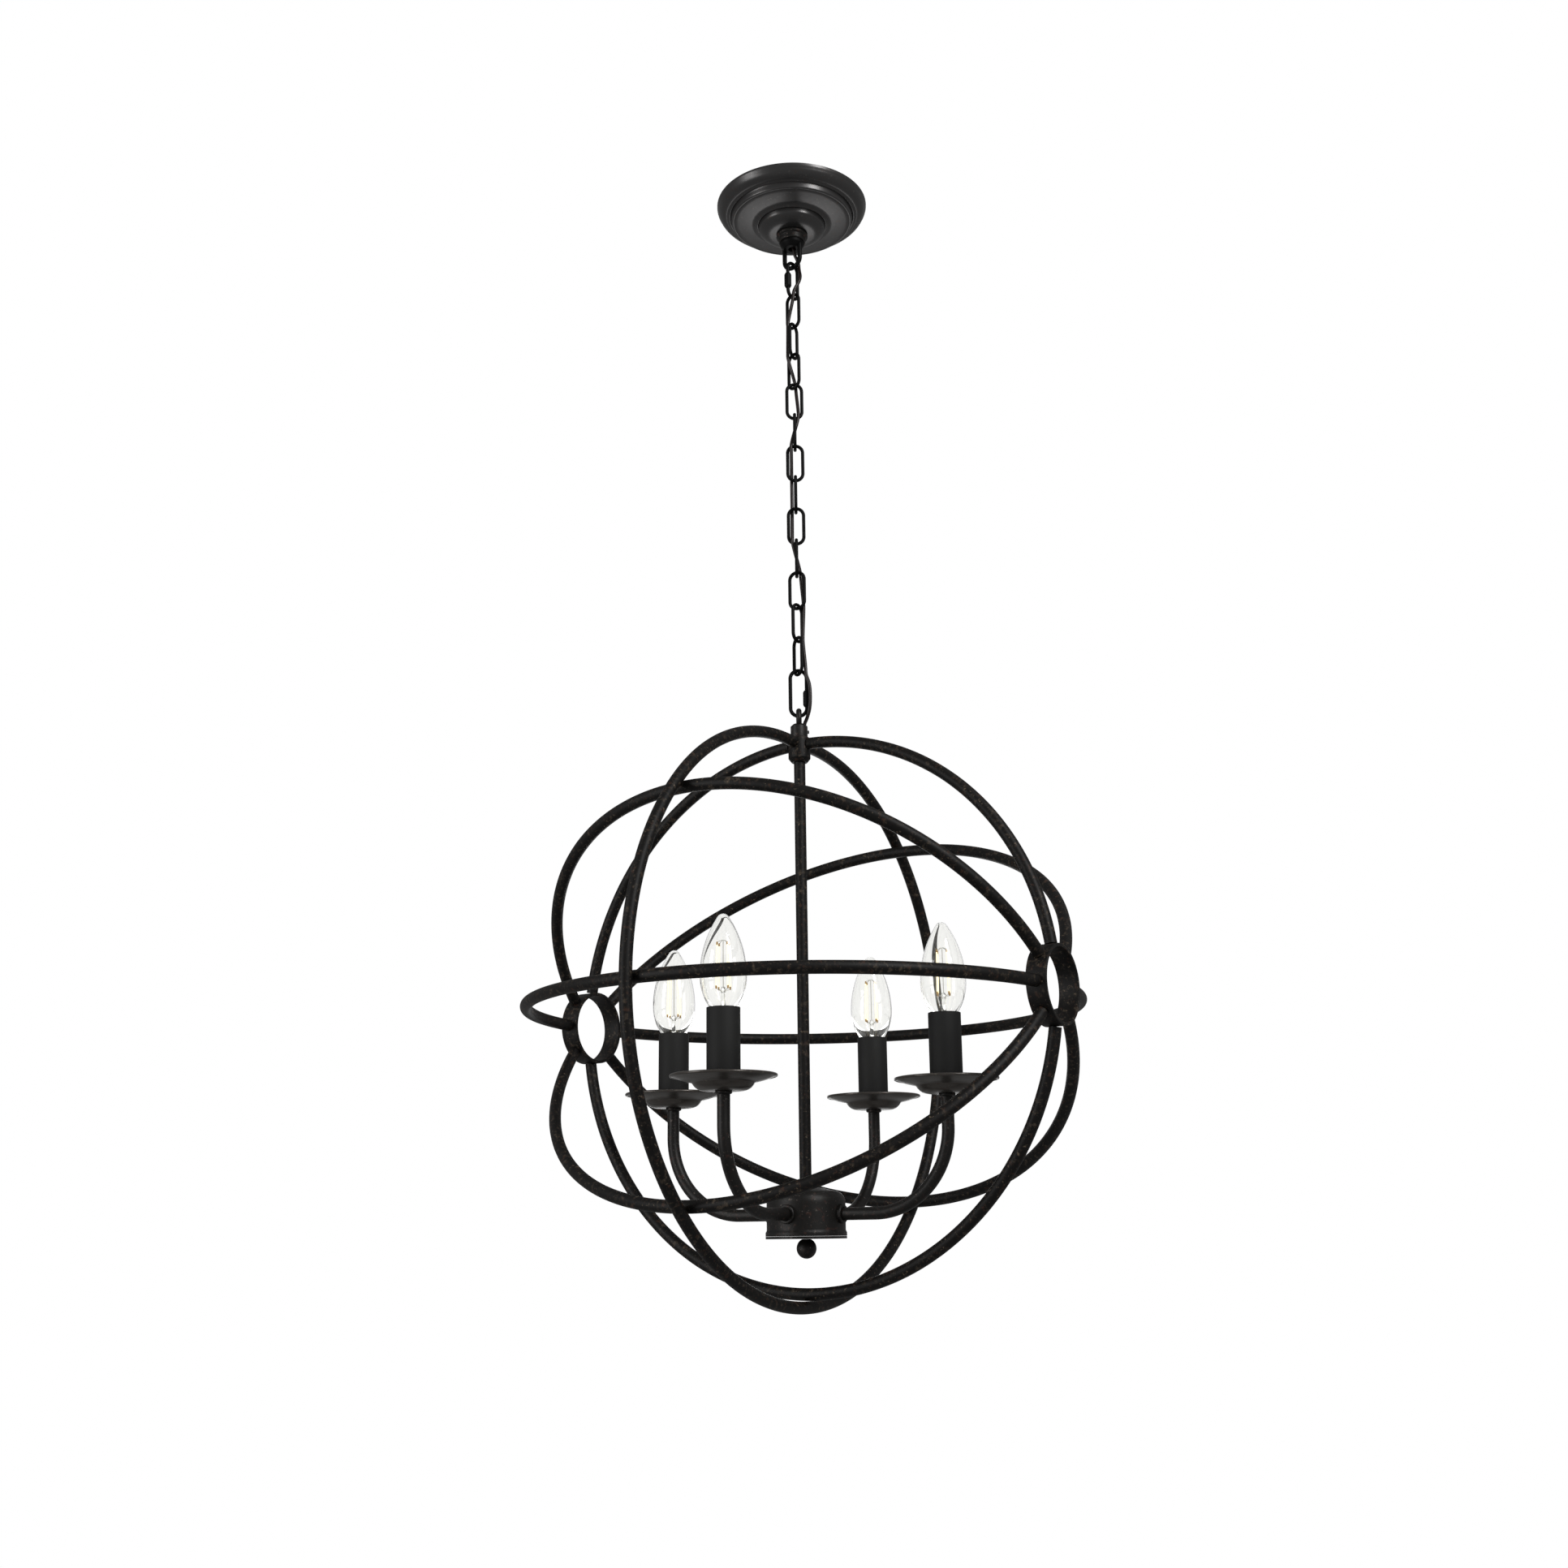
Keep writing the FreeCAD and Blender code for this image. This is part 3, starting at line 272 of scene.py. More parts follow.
# %%
def linear(hex_code):
    """An sRGB hex colour as linear RGBA."""
    channels = []
    for start in (0, 2, 4):
        value = int(hex_code[start:start + 2], 16) / 255
        channels.append(value / 12.92 if value <= 0.04045 else ((value + 0.055) / 1.055) ** 2.4)
    return (*channels, 1.0)


def new_material(name):
    """A material with its node tree's parts at hand."""
    material = bpy.data.materials.new(name)
    material.use_nodes = True
    nodes = material.node_tree.nodes
    return material, nodes, material.node_tree.links, nodes["Principled BSDF"]


def pattern(nodes, links, scale, low, high, detail=4.0):
    """A noise pattern in object space, cut to a mask between two levels."""
    place = nodes.new("ShaderNodeTexCoord")
    noise = nodes.new("ShaderNodeTexNoise")
    noise.inputs["Scale"].default_value = scale
    noise.inputs["Detail"].default_value = detail
    noise.inputs["Roughness"].default_value = 0.6
    band = nodes.new("ShaderNodeMapRange")
    band.interpolation_type = "SMOOTHSTEP"
    band.inputs["From Min"].default_value = low
    band.inputs["From Max"].default_value = high
    links.new(place.outputs["Object"], noise.inputs["Vector"])
    links.new(noise.outputs["Fac"], band.inputs["Value"])
    return band.outputs["Result"]


def mixed(nodes, links, mask, first, second, strength=1.0):
    """Two colours mixed by a mask; each is a colour or the output of another node."""
    mix = nodes.new("ShaderNodeMix")
    mix.data_type = "RGBA"
    for socket, value in (("A_Color", first), ("B_Color", second)):
        target = [s for s in mix.inputs if s.identifier == socket][0]
        if isinstance(value, tuple):
            target.default_value = value
        else:
            links.new(value, target)
    scale = nodes.new("ShaderNodeMath")
    scale.operation = "MULTIPLY"
    scale.inputs[1].default_value = strength
    links.new(mask, scale.inputs[0])
    factor = [s for s in mix.inputs if s.identifier == "Factor_Float"][0]
    links.new(scale.outputs[0], factor)
    return [s for s in mix.outputs if s.identifier == "Result_Color"][0]


def rubbed_iron(name, base, rub, fleck, pale, roughness, rub_share, metallic=0.35, bump=0.12,
                gloss=0.5):
    """Near-black paint with rubbed patches, warm flecks and pale flecks."""
    material, nodes, links, shader = new_material(name)
    broad = pattern(nodes, links, 28.0, 0.5 - rub_share, 0.78 - rub_share)
    fine = pattern(nodes, links, 240.0, 0.52, 0.72, detail=6.0)
    warm = pattern(nodes, links, 230.0, 0.56, 0.7, detail=8.0)
    light = pattern(nodes, links, 380.0, 0.6, 0.72, detail=8.0)
    patch = nodes.new("ShaderNodeMath")
    patch.operation = "MULTIPLY"
    links.new(broad, patch.inputs[0])
    links.new(fine, patch.inputs[1])
    colour = mixed(nodes, links, patch.outputs[0], linear(base), linear(rub), 0.9)
    colour = mixed(nodes, links, warm, colour, linear(fleck), 0.55)
    colour = mixed(nodes, links, light, colour, linear(pale), 0.6)
    links.new(colour, shader.inputs["Base Color"])
    shader.inputs["Metallic"].default_value = metallic
    shader.inputs["Roughness"].default_value = roughness
    shader.inputs["Specular IOR Level"].default_value = gloss
    relief = nodes.new("ShaderNodeBump")
    relief.inputs["Strength"].default_value = bump
    relief.inputs["Distance"].default_value = 0.0006
    links.new(pattern(nodes, links, 150.0, 0.2, 0.8, detail=5.0), relief.inputs["Height"])
    links.new(relief.outputs["Normal"], shader.inputs["Normal"])
    return material


def plain(name, colour, roughness, metallic=0.0, bump=0.0, gloss=0.5):
    """One colour, with a fine grain if bump is given."""
    material, nodes, links, shader = new_material(name)
    shader.inputs["Base Color"].default_value = linear(colour)
    shader.inputs["Roughness"].default_value = roughness
    shader.inputs["Metallic"].default_value = metallic
    shader.inputs["Specular IOR Level"].default_value = gloss
    if bump:
        relief = nodes.new("ShaderNodeBump")
        relief.inputs["Strength"].default_value = bump
        relief.inputs["Distance"].default_value = 0.0002
        grain = pattern(nodes, links, 900.0, 0.2, 0.8)
        links.new(grain, relief.inputs["Height"])
        links.new(relief.outputs["Normal"], shader.inputs["Normal"])
    return material


IRON = rubbed_iron("rubbed iron", "0c0a09", "4e4439", "4a3226", "7d6e5c", 0.52, 0.2,
                   metallic=0.05, gloss=0.25)
HUB_IRON = rubbed_iron("hub iron", "181614", "453b36", "4f3129", "7d726b", 0.46, 0.06)
SATIN = rubbed_iron("canopy satin", "4d4c4c", "585654", "504641", "6f6c68", 0.3, 0.0,
                    metallic=0.75, bump=0.04)
SAUCER = rubbed_iron("saucer satin", "4d4945", "5d5750", "503e38", "7d756c", 0.28, 0.0,
                     metallic=0.5, bump=0.05)
CHAIN_BLACK = plain("chain black", "030303", 0.5, bump=0.1, gloss=0.15)
SLEEVE = plain("sleeve black", "0b0b0a", 0.7, bump=0.08)
CORD = plain("cord brown", "1c1210", 0.36)
STEEL = plain("zinc plated steel", "b9b7b0", 0.35, 1.0, bump=0.05)
GREEN = plain("green paint", "1f6b33", 0.4, 0.2)
PHENOLIC = plain("phenolic", "2b211c", 0.5)
CAP_METAL = plain("bulb cap metal", "c8b98e", 0.28, 1.0)


def clear_glass(name):
    """Smooth glass that lets nearly all light through."""
    material, _, _, shader = new_material(name)
    shader.inputs["Base Color"].default_value = (0.965, 0.965, 0.95, 1.0)
    shader.inputs["Transmission Weight"].default_value = 1.0
    shader.inputs["Roughness"].default_value = 0.0
    shader.inputs["IOR"].default_value = 1.45
    return material


GLASS = clear_glass("clear glass")
PHOSPHOR, _, _, phosphor_shader = new_material("filament phosphor")
phosphor_shader.inputs["Base Color"].default_value = linear("fff3cf")
phosphor_shader.inputs["Roughness"].default_value = 0.5
phosphor_shader.inputs["Emission Color"].default_value = linear("fff2cc")
phosphor_shader.inputs["Emission Strength"].default_value = 0.75
AMBER = plain("filament end", "a8823a", 0.4, 0.2)

# %% [markdown]
# ## Ceiling pieces
# The canopy is spun from one sheet: a rounded outer band, a step with a bead, a shallow
# dish, a second step and a small dome.  A threaded collar below holds it up, and the loop's
# neck passes through both.
#
# Lesson: the steps are drawn as short arcs, because spun metal can't turn a sharp corner.


# %%
def offset_inward(profile, wall):
    """The same profile moved up and in by the wall, run backwards."""
    inner = []
    for index, point in enumerate(profile):
        before = Vector(profile[max(index - 1, 0)])
        after = Vector(profile[min(index + 1, len(profile) - 1)])
        along = (after - before).normalized()
        inner.append((point[0] - along.y * wall, point[1] + along.x * wall))
    return list(reversed(inner))


canopy_outer = [(11.0, -28.5), (17.0, -28.5)]
canopy_outer += arc((17.05, -10.85), 17.6, -89, -47, 12)
canopy_outer += [(29.35, -23.1), (29.85, -19.6)]
canopy_outer += arc((30.6, -18.8), 0.9, 200, 300, 5)
canopy_outer += [(32.4, -17.85), (36.0, -17.5), (42.0, -16.9), (48.0, -16.1), (50.9, -15.7)]
canopy_outer += arc((52.2, -14.2), 1.6, 235, 350, 7)
canopy_outer += [(54.0, -11.8), (54.3, -10.6)]
canopy_outer += arc((55.6, -10.0), 1.1, 200, 290, 5)
canopy_outer += [(57.0, -9.8)]
canopy_outer += arc((57.3, -0.9), 8.9, -84, -17, 12)
canopy_outer += [(66.4, -2.6), (66.72, -1.4), (66.75, -0.05)]
canopy_inner = offset_inward(canopy_outer, 1.0)
canopy = lathe(canopy_outer + canopy_inner, sides=160, edge=0)
finished("canopy dish", scaled(canopy), "canopy", "canopy_cover", SATIN, 50)

collar = lathe([
    (10.78, -28.56), (13.4, -28.56), (13.95, -29.2), (13.95, -30.9), (12.0, -31.9),
    (11.95, -32.7), (11.95, -35.7), (11.3, -36.5), (10.78, -36.5),
], sides=96, edge=0.5)
finished("collar", scaled(collar), "collar_ring", "canopy_cover", HUB_IRON)


def stadium(wire, width, length, top, steps=18):
    """The centre line of an oval link in the X-Z plane."""
    radius = (width - wire) / 2
    upper = top - width / 2
    lower = top - length + width / 2
    runs = 8
    points = [(x, 0, z) for x, z in arc((0, upper), radius, 0, 180, steps)]
    points += [(-radius, 0, upper + (lower - upper) * k / runs) for k in range(1, runs)]
    points += [(x, 0, z) for x, z in arc((0, lower), radius, 180, 360, steps)]
    points += [(radius, 0, lower + (upper - lower) * k / runs) for k in range(1, runs)]
    return points


loop_radius = (LOOP_WIDTH - LOOP_WIRE) / 2
loop_root = -40.0
loop_bend = -LOOP_LOW + LOOP_WIDTH / 2
loop_half = (loop_bend + loop_root) / 2
loop_path = [(-loop_radius, 0, loop_root), (-loop_radius, 0, loop_half)]
loop_path += [(x, 0, z) for x, z in arc((0, loop_bend), loop_radius, 180, 360, 28)]
loop_path += [(loop_radius, 0, loop_half), (loop_radius, 0, loop_root)]
neck = lathe([
    (3.3, -15.0), (10.1, -15.0), (10.65, -15.6), (10.65, -38.5), (10.3, -39.2),
    (7.4, -42.6), (3.3, -42.6),
], sides=72, edge=0.6)
loop = joined(neck, swept(loop_path, disc(LOOP_WIRE / 2)))
moved(loop, turn=VIEW_TURN + LOOP_TURN)
finished("canopy loop", scaled(loop), "canopy_loop", "ceiling_mount", CHAIN_BLACK)

# %% [markdown]
# ## Chain
# Twelve plain links hang between two quick links.  Each has its own direction, read from
# the photograph: a hanging chain is never exactly crossed.
#
# Lesson: a closed path needs no caps, so each link is one clean band of faces.

# %%
for (name, wire, length, width, turn), top in zip(CHAIN, tops):
    path = stadium(wire, width, length, top)
    link = swept(path, disc(wire / 2, 20), closed=True)
    moved(link, turn=VIEW_TURN + turn)
    finished(name.replace("_", " "), scaled(link), name, name, CHAIN_BLACK)

NUT_RISE = 1.2
for which, place, side in (("top", 0, -1), ("bottom", -1, 1)):
    _, wire, length, width, turn = CHAIN[place]
    foot = tops[place] + width / 2 - length + NUT_RISE
    reach = (width - wire) / 2 * side
    angle = math.radians(VIEW_TURN + turn)
    nut = lathe([(1.6, 0.0), (2.3, 0.0), (3.1, 1.7), (3.1, 12.3), (2.3, 13.95), (1.6, 13.95)],
                sides=36, edge=0.6)
    moved(nut, reach * math.cos(angle), reach * math.sin(angle), foot)
    finished(f"{which} sleeve nut", scaled(nut), f"quick_link_{which}_nut", f"{which}_nut",
             CHAIN_BLACK)

# %% [markdown]
# ## Eye, coupler and rod
# The eye is a ring that grows out of a short turned base.  The coupler below takes the two
# quarter hoops and both ends of the transverse hoop.
#
# Lesson: where two turned shapes meet, a rounded edge on each hides the fact that they are
# separate meshes.

# %%
eye_steps = 48
eye_middle = BASE_TOP + EYE_HEIGHT - EYE_WIDTH / 2
eye_radius = (EYE_WIDTH - EYE_WIRE) / 2
eye_ring = [(0, y, z) for y, z in
            arc((0, eye_middle), eye_radius, 0, 360 - 360 / eye_steps, eye_steps - 1)]
eye_base = lathe([
    (0, BASE_TOP), (5.0, BASE_TOP), (7.05, BASE_TOP - 2.0), (7.05, COUPLER_TOP + WELD_GAP),
    (0, COUPLER_TOP + WELD_GAP),
], sides=48, edge=0.5, closed=False)
eye = joined(swept(eye_ring, disc(EYE_WIRE / 2, 24), closed=True), eye_base)
moved(eye, z=CENTRE, turn=VIEW_TURN)
finished("eye", scaled(eye), "fixture_eye", "orb", HUB_IRON)

screw = lathe([(0, 7.1), (1.45, 7.1), (1.45, 8.0), (0.8, 8.3), (0, 8.3)], sides=24, edge=0.25,
              closed=False)
moved(screw, tilt_y=90)
moved(screw, z=CENTRE + BASE_TOP - 6.6, turn=VIEW_TURN)
finished("set screw head", scaled(screw), "set_screw", "orb", HUB_IRON)

foot = COUPLER_TOP - COUPLER_HEIGHT
coupler = lathe([
    (0, COUPLER_TOP), (8.6, COUPLER_TOP), (9.05, COUPLER_TOP - 0.6), (9.05, foot + 3.4),
    (6.4, foot), (4.78, foot), (4.78, foot + 4.0), (0, foot + 4.0),
], sides=64, edge=0.5, closed=False)
moved(coupler, z=CENTRE)
finished("coupler body", scaled(coupler), "coupler", "orb", IRON)

ROD_RADIUS = 4.66
rod = swept([(0, 0, CENTRE + z) for z in (-168, -140, -60, 0, 60, 140, foot + 8.9)],
            disc(ROD_RADIUS, 36))
finished("centre rod", scaled(rod), "centre_rod", "orb", IRON)

# %% [markdown]
# ## Cage
# Seven half hoops and two quarter hoops run between the hub rings.  One more hoop crosses
# them on the outside.  Each rod swells and thins by a few hundredths of a millimetre along
# its length, like bar that was bent over a former.
#
# Lesson: a slow, small change of thickness along a rod does more for a forged look than a
# strong bump map.


# %%
def uneven(seed):
    """A rod's thickness along its length: two slow waves, always a little under the full size."""
    def wobble(share):
        slow = math.sin(share * 23 + seed) + 0.6 * math.sin(share * 57 + seed * 2.1)
        return 0.992 + 0.006 * slow / 1.6
    return wobble


start_angle = math.degrees(math.asin((HUB_RING + 0.3) / CAGE))
for number, tilt in enumerate(HOOP_TILTS, start=1):
    path = [(x, y, 0) for x, y in arc((0, 0), CAGE, start_angle, 180 - start_angle, 120)]
    hoop = swept(path, BAR_SECTION, wobble=uneven(number))
    moved(hoop, z=CENTRE, tilt_x=tilt)
    finished(f"half hoop {number}", scaled(hoop), f"half_hoop_{number}", "orb",
             IRON)

end_angle = math.degrees(math.asin(COUPLER_REACH / CAGE))
for number, (first, last) in enumerate(
    ((start_angle, 90 - end_angle), (90 + end_angle, 180 - start_angle)), start=1
):
    path = [(x, y, 0) for x, y in arc((0, 0), CAGE, first, last, 64)]
    hoop = swept(path, BAR_SECTION, wobble=uneven(number + 10))
    moved(hoop, z=CENTRE, tilt_x=90)
    finished(f"quarter hoop {number}", scaled(hoop), f"quarter_hoop_{number}", "orb",
             IRON)

half_root = math.sqrt(0.5)
shoulder = (OUTER ** 2 - CAGE ** 2) / (2 * OUTER - 2 * CAGE * half_root)
bent = shoulder * half_root
over = OUTER - shoulder
stop = math.degrees(math.acos((COUPLER_REACH - bent) / over))
path = [(0, y, z) for y, z in arc((bent, bent), over, stop, 45, 26)]
path += [(0, y, z) for y, z in arc((0, 0), OUTER, 45, -225, 170)[1:-1]]
path += [(0, y, z) for y, z in arc((-bent, bent), over, 135, 180 - stop, 26)]
hoop = swept(path, BAR_SECTION, wobble=uneven(5.5))
moved(hoop, z=CENTRE)
finished("transverse hoop", scaled(hoop), "transverse_hoop", "orb", IRON)

ring_x = math.sqrt(CAGE ** 2 - HUB_RING ** 2)
bands = []
for side in (1, -1):
    band = lathe([(27.45, -8), (29.97, -8), (29.97, 8), (27.45, 8)], sides=96, edge=0.5)
    bands.append(moved(band, x=ring_x * side, z=CENTRE, tilt_y=90))
finished("hub rings", scaled(joined(*bands)), "hub_rings", "orb", IRON)

# %% [markdown]
# ## Arm hub
# A drum with a rounded shoulder, a small lip at its foot, and a boss for each arm.  A plate
# closes it and a ball finial holds the plate.
#
# Lesson: the lip is under a millimetre proud, yet it draws the line that ends the shape.

# %%
hub_profile = [(4.8, -137.85), (7.7, -137.85), (14.0, -138.6), (21.5, -140.4)]
hub_profile += arc((21.6, -149.1), 8.7, 84, 6, 12)
hub_profile += [(30.35, -150.0), (30.35, -169.6), (30.6, -170.3), (31.2, -171.4),
                (31.25, -174.15), (28.6, -174.15), (28.6, -152.0), (22.0, -144.0), (4.8, -141.0)]
drum = lathe(hub_profile, sides=128, edge=0.35)
bosses = []
for k in range(LAMPS):
    boss = lathe([(4.88, 28.6), (7.15, 28.6), (7.15, 32.3), (6.6, 33.0), (4.88, 33.0)], sides=40,
                 edge=0.4)
    moved(boss, tilt_y=90)
    bosses.append(moved(boss, z=ARM_LEVEL, turn=90 * k))
hub = joined(drum, *bosses)
moved(hub, z=CENTRE, turn=ARM_TURN)
finished("arm hub", scaled(hub), "arm_hub", "orb", HUB_IRON)

cap = lathe([(0, -174.3), (31.2, -174.3), (31.2, -176.15), (0, -176.15)], sides=96, edge=0.4,
            closed=False)
moved(cap, z=CENTRE)
finished("hub cap", scaled(cap), "hub_cap", "orb", HUB_IRON)

ball_profile = [(0, -176.3), (3.3, -176.3)]
ball_profile += arc((0, -183.2), 7.65, 62, -90, 30)
ball = lathe(ball_profile, sides=64, edge=0, closed=False)
moved(ball, z=CENTRE)
finished("finial ball", scaled(ball), "finial", "orb", HUB_IRON)

# %% [markdown]
# ## Arms, saucers and sleeves
# Each arm leaves the hub level, bends through a quarter turn and rises to its lamp.  The
# saucer is two shallow bowls with a step between them and a rolled rim.
#
# Lesson: the four lamps are built from one recipe and placed by angle, so they can't drift
# apart.


# %%
def lamp_spot(k):
    """Where lamp k stands, seen from above."""
    angle = math.radians(ARM_TURN + 90 * k)
    return LAMP_RADIUS * math.cos(angle), LAMP_RADIUS * math.sin(angle)


for k in range(LAMPS):
    path = [(reach, 0, ARM_LEVEL) for reach in (24.5, 33.0, 46.0)]
    path += [(x, 0, z) for x, z in
             arc((LAMP_RADIUS - ARM_BEND, ARM_LEVEL + ARM_BEND), ARM_BEND, -90, 0, 40)]
    path += [(LAMP_RADIUS, 0, -85.0), (LAMP_RADIUS, 0, -74.6)]
    arm = swept(path, BAR_SECTION)
    tip = swept([(LAMP_RADIUS, 0, -75.0), (LAMP_RADIUS, 0, -60.6)], disc(3.55, 24))
    arm = joined(arm, tip)
    moved(arm, z=CENTRE, turn=ARM_TURN + 90 * k)
    finished(f"arm {k + 1}", scaled(arm), f"arm_{k + 1}", "orb", HUB_IRON)

saucer_outer = [(3.7, -72.2), (11.0, -72.2), (14.5, -72.1)]
saucer_outer += arc((14.2, -62.6), 9.5, -82, -28, 8)
saucer_outer += [(22.9, -66.6), (23.6, -66.1)]
saucer_outer += [(26.5, -65.5), (30.0, -64.6), (33.5, -63.5), (36.2, -62.5), (37.8, -61.9)]
saucer_inner = offset_inward(saucer_outer, 0.85)
RIM, RIM_LEVEL, RIM_ROLL, RIM_SIDES = 38.25, -61.3, 1.15, 120
saucers, washers, sleeves, sockets = [], [], [], []
for k in range(LAMPS):
    x, y = lamp_spot(k)
    dish = lathe(saucer_outer + saucer_inner, sides=RIM_SIDES, edge=0)
    rim = [(u, v, RIM_LEVEL) for u, v in disc(RIM, RIM_SIDES)]
    saucer = joined(dish, swept(rim, disc(RIM_ROLL, 14), closed=True))
    saucers.append(moved(saucer, x, y, CENTRE))
    washer = lathe([(3.7, -74.4), (5.4, -74.4), (6.35, -73.7), (6.35, -72.3), (3.7, -72.3)],
                   sides=40, edge=0.3)
    washers.append(moved(washer, x, y, CENTRE))
    sleeve = lathe([(11.7, -71.2), (12.4, -71.2), (12.4, -12.05), (11.7, -12.05)], sides=72,
                   edge=0.3)
    sleeves.append(moved(sleeve, x, y, CENTRE))
    socket = lathe([(3.7, -65.9), (9.5, -65.9), (9.5, -24.05), (6.15, -24.05), (6.15, -42.9),
                    (3.7, -42.9)], sides=48, edge=0.4)
    sockets.append(moved(socket, x, y, CENTRE))
finished("drip saucers", scaled(joined(*saucers)), "saucers", "orb", SAUCER, 50)
finished("washers", scaled(joined(*washers)), "saucer_washers", "orb", HUB_IRON)
finished("sleeves", scaled(joined(*sleeves)), "candle_sleeves", "orb", SLEEVE)
finished("sockets", scaled(joined(*sockets)), "lamp_sockets", "orb", PHENOLIC)

# %% [markdown]
# ## Bulbs
# Clear candle bulbs with a glass stem and four filaments.  Each filament is a thin
# phosphor-coated stick with an amber end at its foot and its head, held by fine wires from
# the stem.
#
# Lesson: the glass is a real shell with an inner and an outer skin.  A solid bulb would act
# as a lens and turn the filaments upside down.

# %%
BELLY, NOSE, WALL = 17.35, 5.0, 0.8
BELLY_Z, TIP_Z, NECK_TOP, NECK_R = 11.0, 57.25, -17.0, 6.25
rise = TIP_Z - BELLY_Z
upper_r = (BELLY ** 2 + (rise - NOSE) ** 2 - NOSE ** 2) / (2 * (BELLY - NOSE))
drop = BELLY_Z - NECK_TOP
slim = BELLY - NECK_R
lower_r = (slim ** 2 + drop ** 2) / (2 * slim)
THREADS, THREAD_PITCH, THREAD_TOP = 5, 2.6, -23.5
FOOT_R, HEAD_R, FOOT_Z, HEAD_Z = 6.2, 5.4, 3.5, 33.5
END_LENGTH, WIRE_TOP = 2.2, 37.5


def bulb_skin(inset):
    """Half the bulb's outline, moved in by inset."""
    points = [(NECK_R - inset, -21.95), (NECK_R - inset, -19.5)]
    low = -math.degrees(math.asin(drop / lower_r))
    points += arc((BELLY - lower_r, BELLY_Z), lower_r - inset, low, 0, 22)
    high = math.degrees(math.atan2(rise - NOSE, upper_r - BELLY))
    points += arc((BELLY - upper_r, BELLY_Z), upper_r - inset, 0, high, 36)[1:]
    points += arc((0, TIP_Z - NOSE), NOSE - inset, high, 90, 12)[1:]
    return points


for k in range(LAMPS):
    x, y = lamp_spot(k)
    skin = bulb_skin(0.0) + list(reversed(bulb_skin(WALL)))
    glass = lathe(skin, sides=72, edge=0)
    moved(glass, x, y, CENTRE)
    finished(f"bulb {k + 1} glass", scaled(glass), f"bulb_glass_{k + 1}", f"bulb_{k + 1}",
             GLASS, 60)

    thread = [(0, -22.0), (5.8, -22.0)]
    for groove in range(THREADS):
        level = THREAD_TOP - groove * THREAD_PITCH
        thread += [(5.3, level), (5.8, level - THREAD_PITCH / 2)]
    thread += [(5.2, -37.5), (3.2, -38.8), (0, -38.8)]
    base = lathe(thread, sides=40, edge=0.3, closed=False)
    contact = lathe([(0, -38.7), (2.3, -38.7), (2.3, -40.0), (1.2, -40.7), (0, -40.7)],
                    sides=24, edge=0.2, closed=False)
    cap = joined(base, contact)
    moved(cap, x, y, CENTRE)
    finished(f"bulb {k + 1} cap", scaled(cap), f"bulb_base_{k + 1}", f"bulb_{k + 1}",
             CAP_METAL)

    stem = lathe([(0, -21.9), (3.4, -21.9), (2.3, -17.0), (1.7, -9.0), (1.5, -2.0), (2.1, 1.0),
                  (1.2, 3.0), (0, 3.0)], sides=32, edge=0.5, closed=False)
    moved(stem, x, y, CENTRE)
    finished(f"bulb {k + 1} stem", scaled(stem), None, f"bulb_{k + 1}", GLASS, 60)

    sticks, ends, wires = [], [], []
    for side in range(4):
        angle = math.radians(45 + 90 * side + ARM_TURN + 20)
        across, along = math.cos(angle), math.sin(angle)
        low = Vector((FOOT_R * across, FOOT_R * along, FOOT_Z))
        high = Vector((HEAD_R * across, HEAD_R * along, HEAD_Z))
        sticks.append(swept([low, high], disc(0.62, 12)))
        for end, beyond in ((low, -END_LENGTH), (high, END_LENGTH)):
            tipped = end + Vector((0, 0, beyond))
            ends.append(swept([end, tipped], disc(0.66, 12)))
        wires.append(swept([(0.6 * across, 0.6 * along, -1.0), (2.6 * across, 2.6 * along, 0.6),
                            low + Vector((0, 0, -2.0))], disc(0.22, 8)))
        wires.append(swept([high + Vector((0, 0, 2.0)), (0.8 * across, 0.8 * along, WIRE_TOP)],
                           disc(0.22, 8)))
    wires.append(swept([(0, 0, 2.5), (0, 0, WIRE_TOP)], disc(0.3, 8)))
    for group, name, material in ((sticks, "filaments", PHOSPHOR), (ends, "ends", AMBER),
                                  (wires, "wires", STEEL)):
        whole = joined(*group)
        moved(whole, x, y, CENTRE)
        finished(f"bulb {k + 1} {name}", scaled(whole), None, f"bulb_{k + 1}",
                 material)

# %% [markdown]
# ## Cord
# A two-core cord leaves the loop's neck, lies in front of one link, goes through the
# window of the next, and so on down to the eye's base.  It is cut into one length per
# hinge, and the lengths ride no body.  The route has two points at each crossing, one above
# it and one below, so that the spline keeps its distance from the links there.
#
# Lesson: a blend can cross one joint only, so a cord over fifteen hinges is fifteen short
# cords whose ends meet halfway down each link.

# %%
CROSSINGS = [
    (9, 5.8), (-83, 5.3), (192, 4.9), (187, 5.2), (69, 4.05), (-44, 4.65), (225, 4.6),
    (135, 4.6), (135, 4.6), (228, 5.05), (47, 4.8), (17, 5.6), (-3, 4.3), (-30, 7.2),
]
CROSSING_HALF, CROSSING_SHIFT = 3.0, 0.1
CORD_RADIUS, CORD_WAIST = 1.48, 0.22
INLET_REACH = 4.35
OVERLAP = 0.6


def around(direction, reach, level):
    """A point beside the chain: its direction is counted from the right of the view."""
    angle = math.radians(direction + VIEW_TURN)
    return Vector((reach * math.cos(angle), reach * math.sin(angle), level))


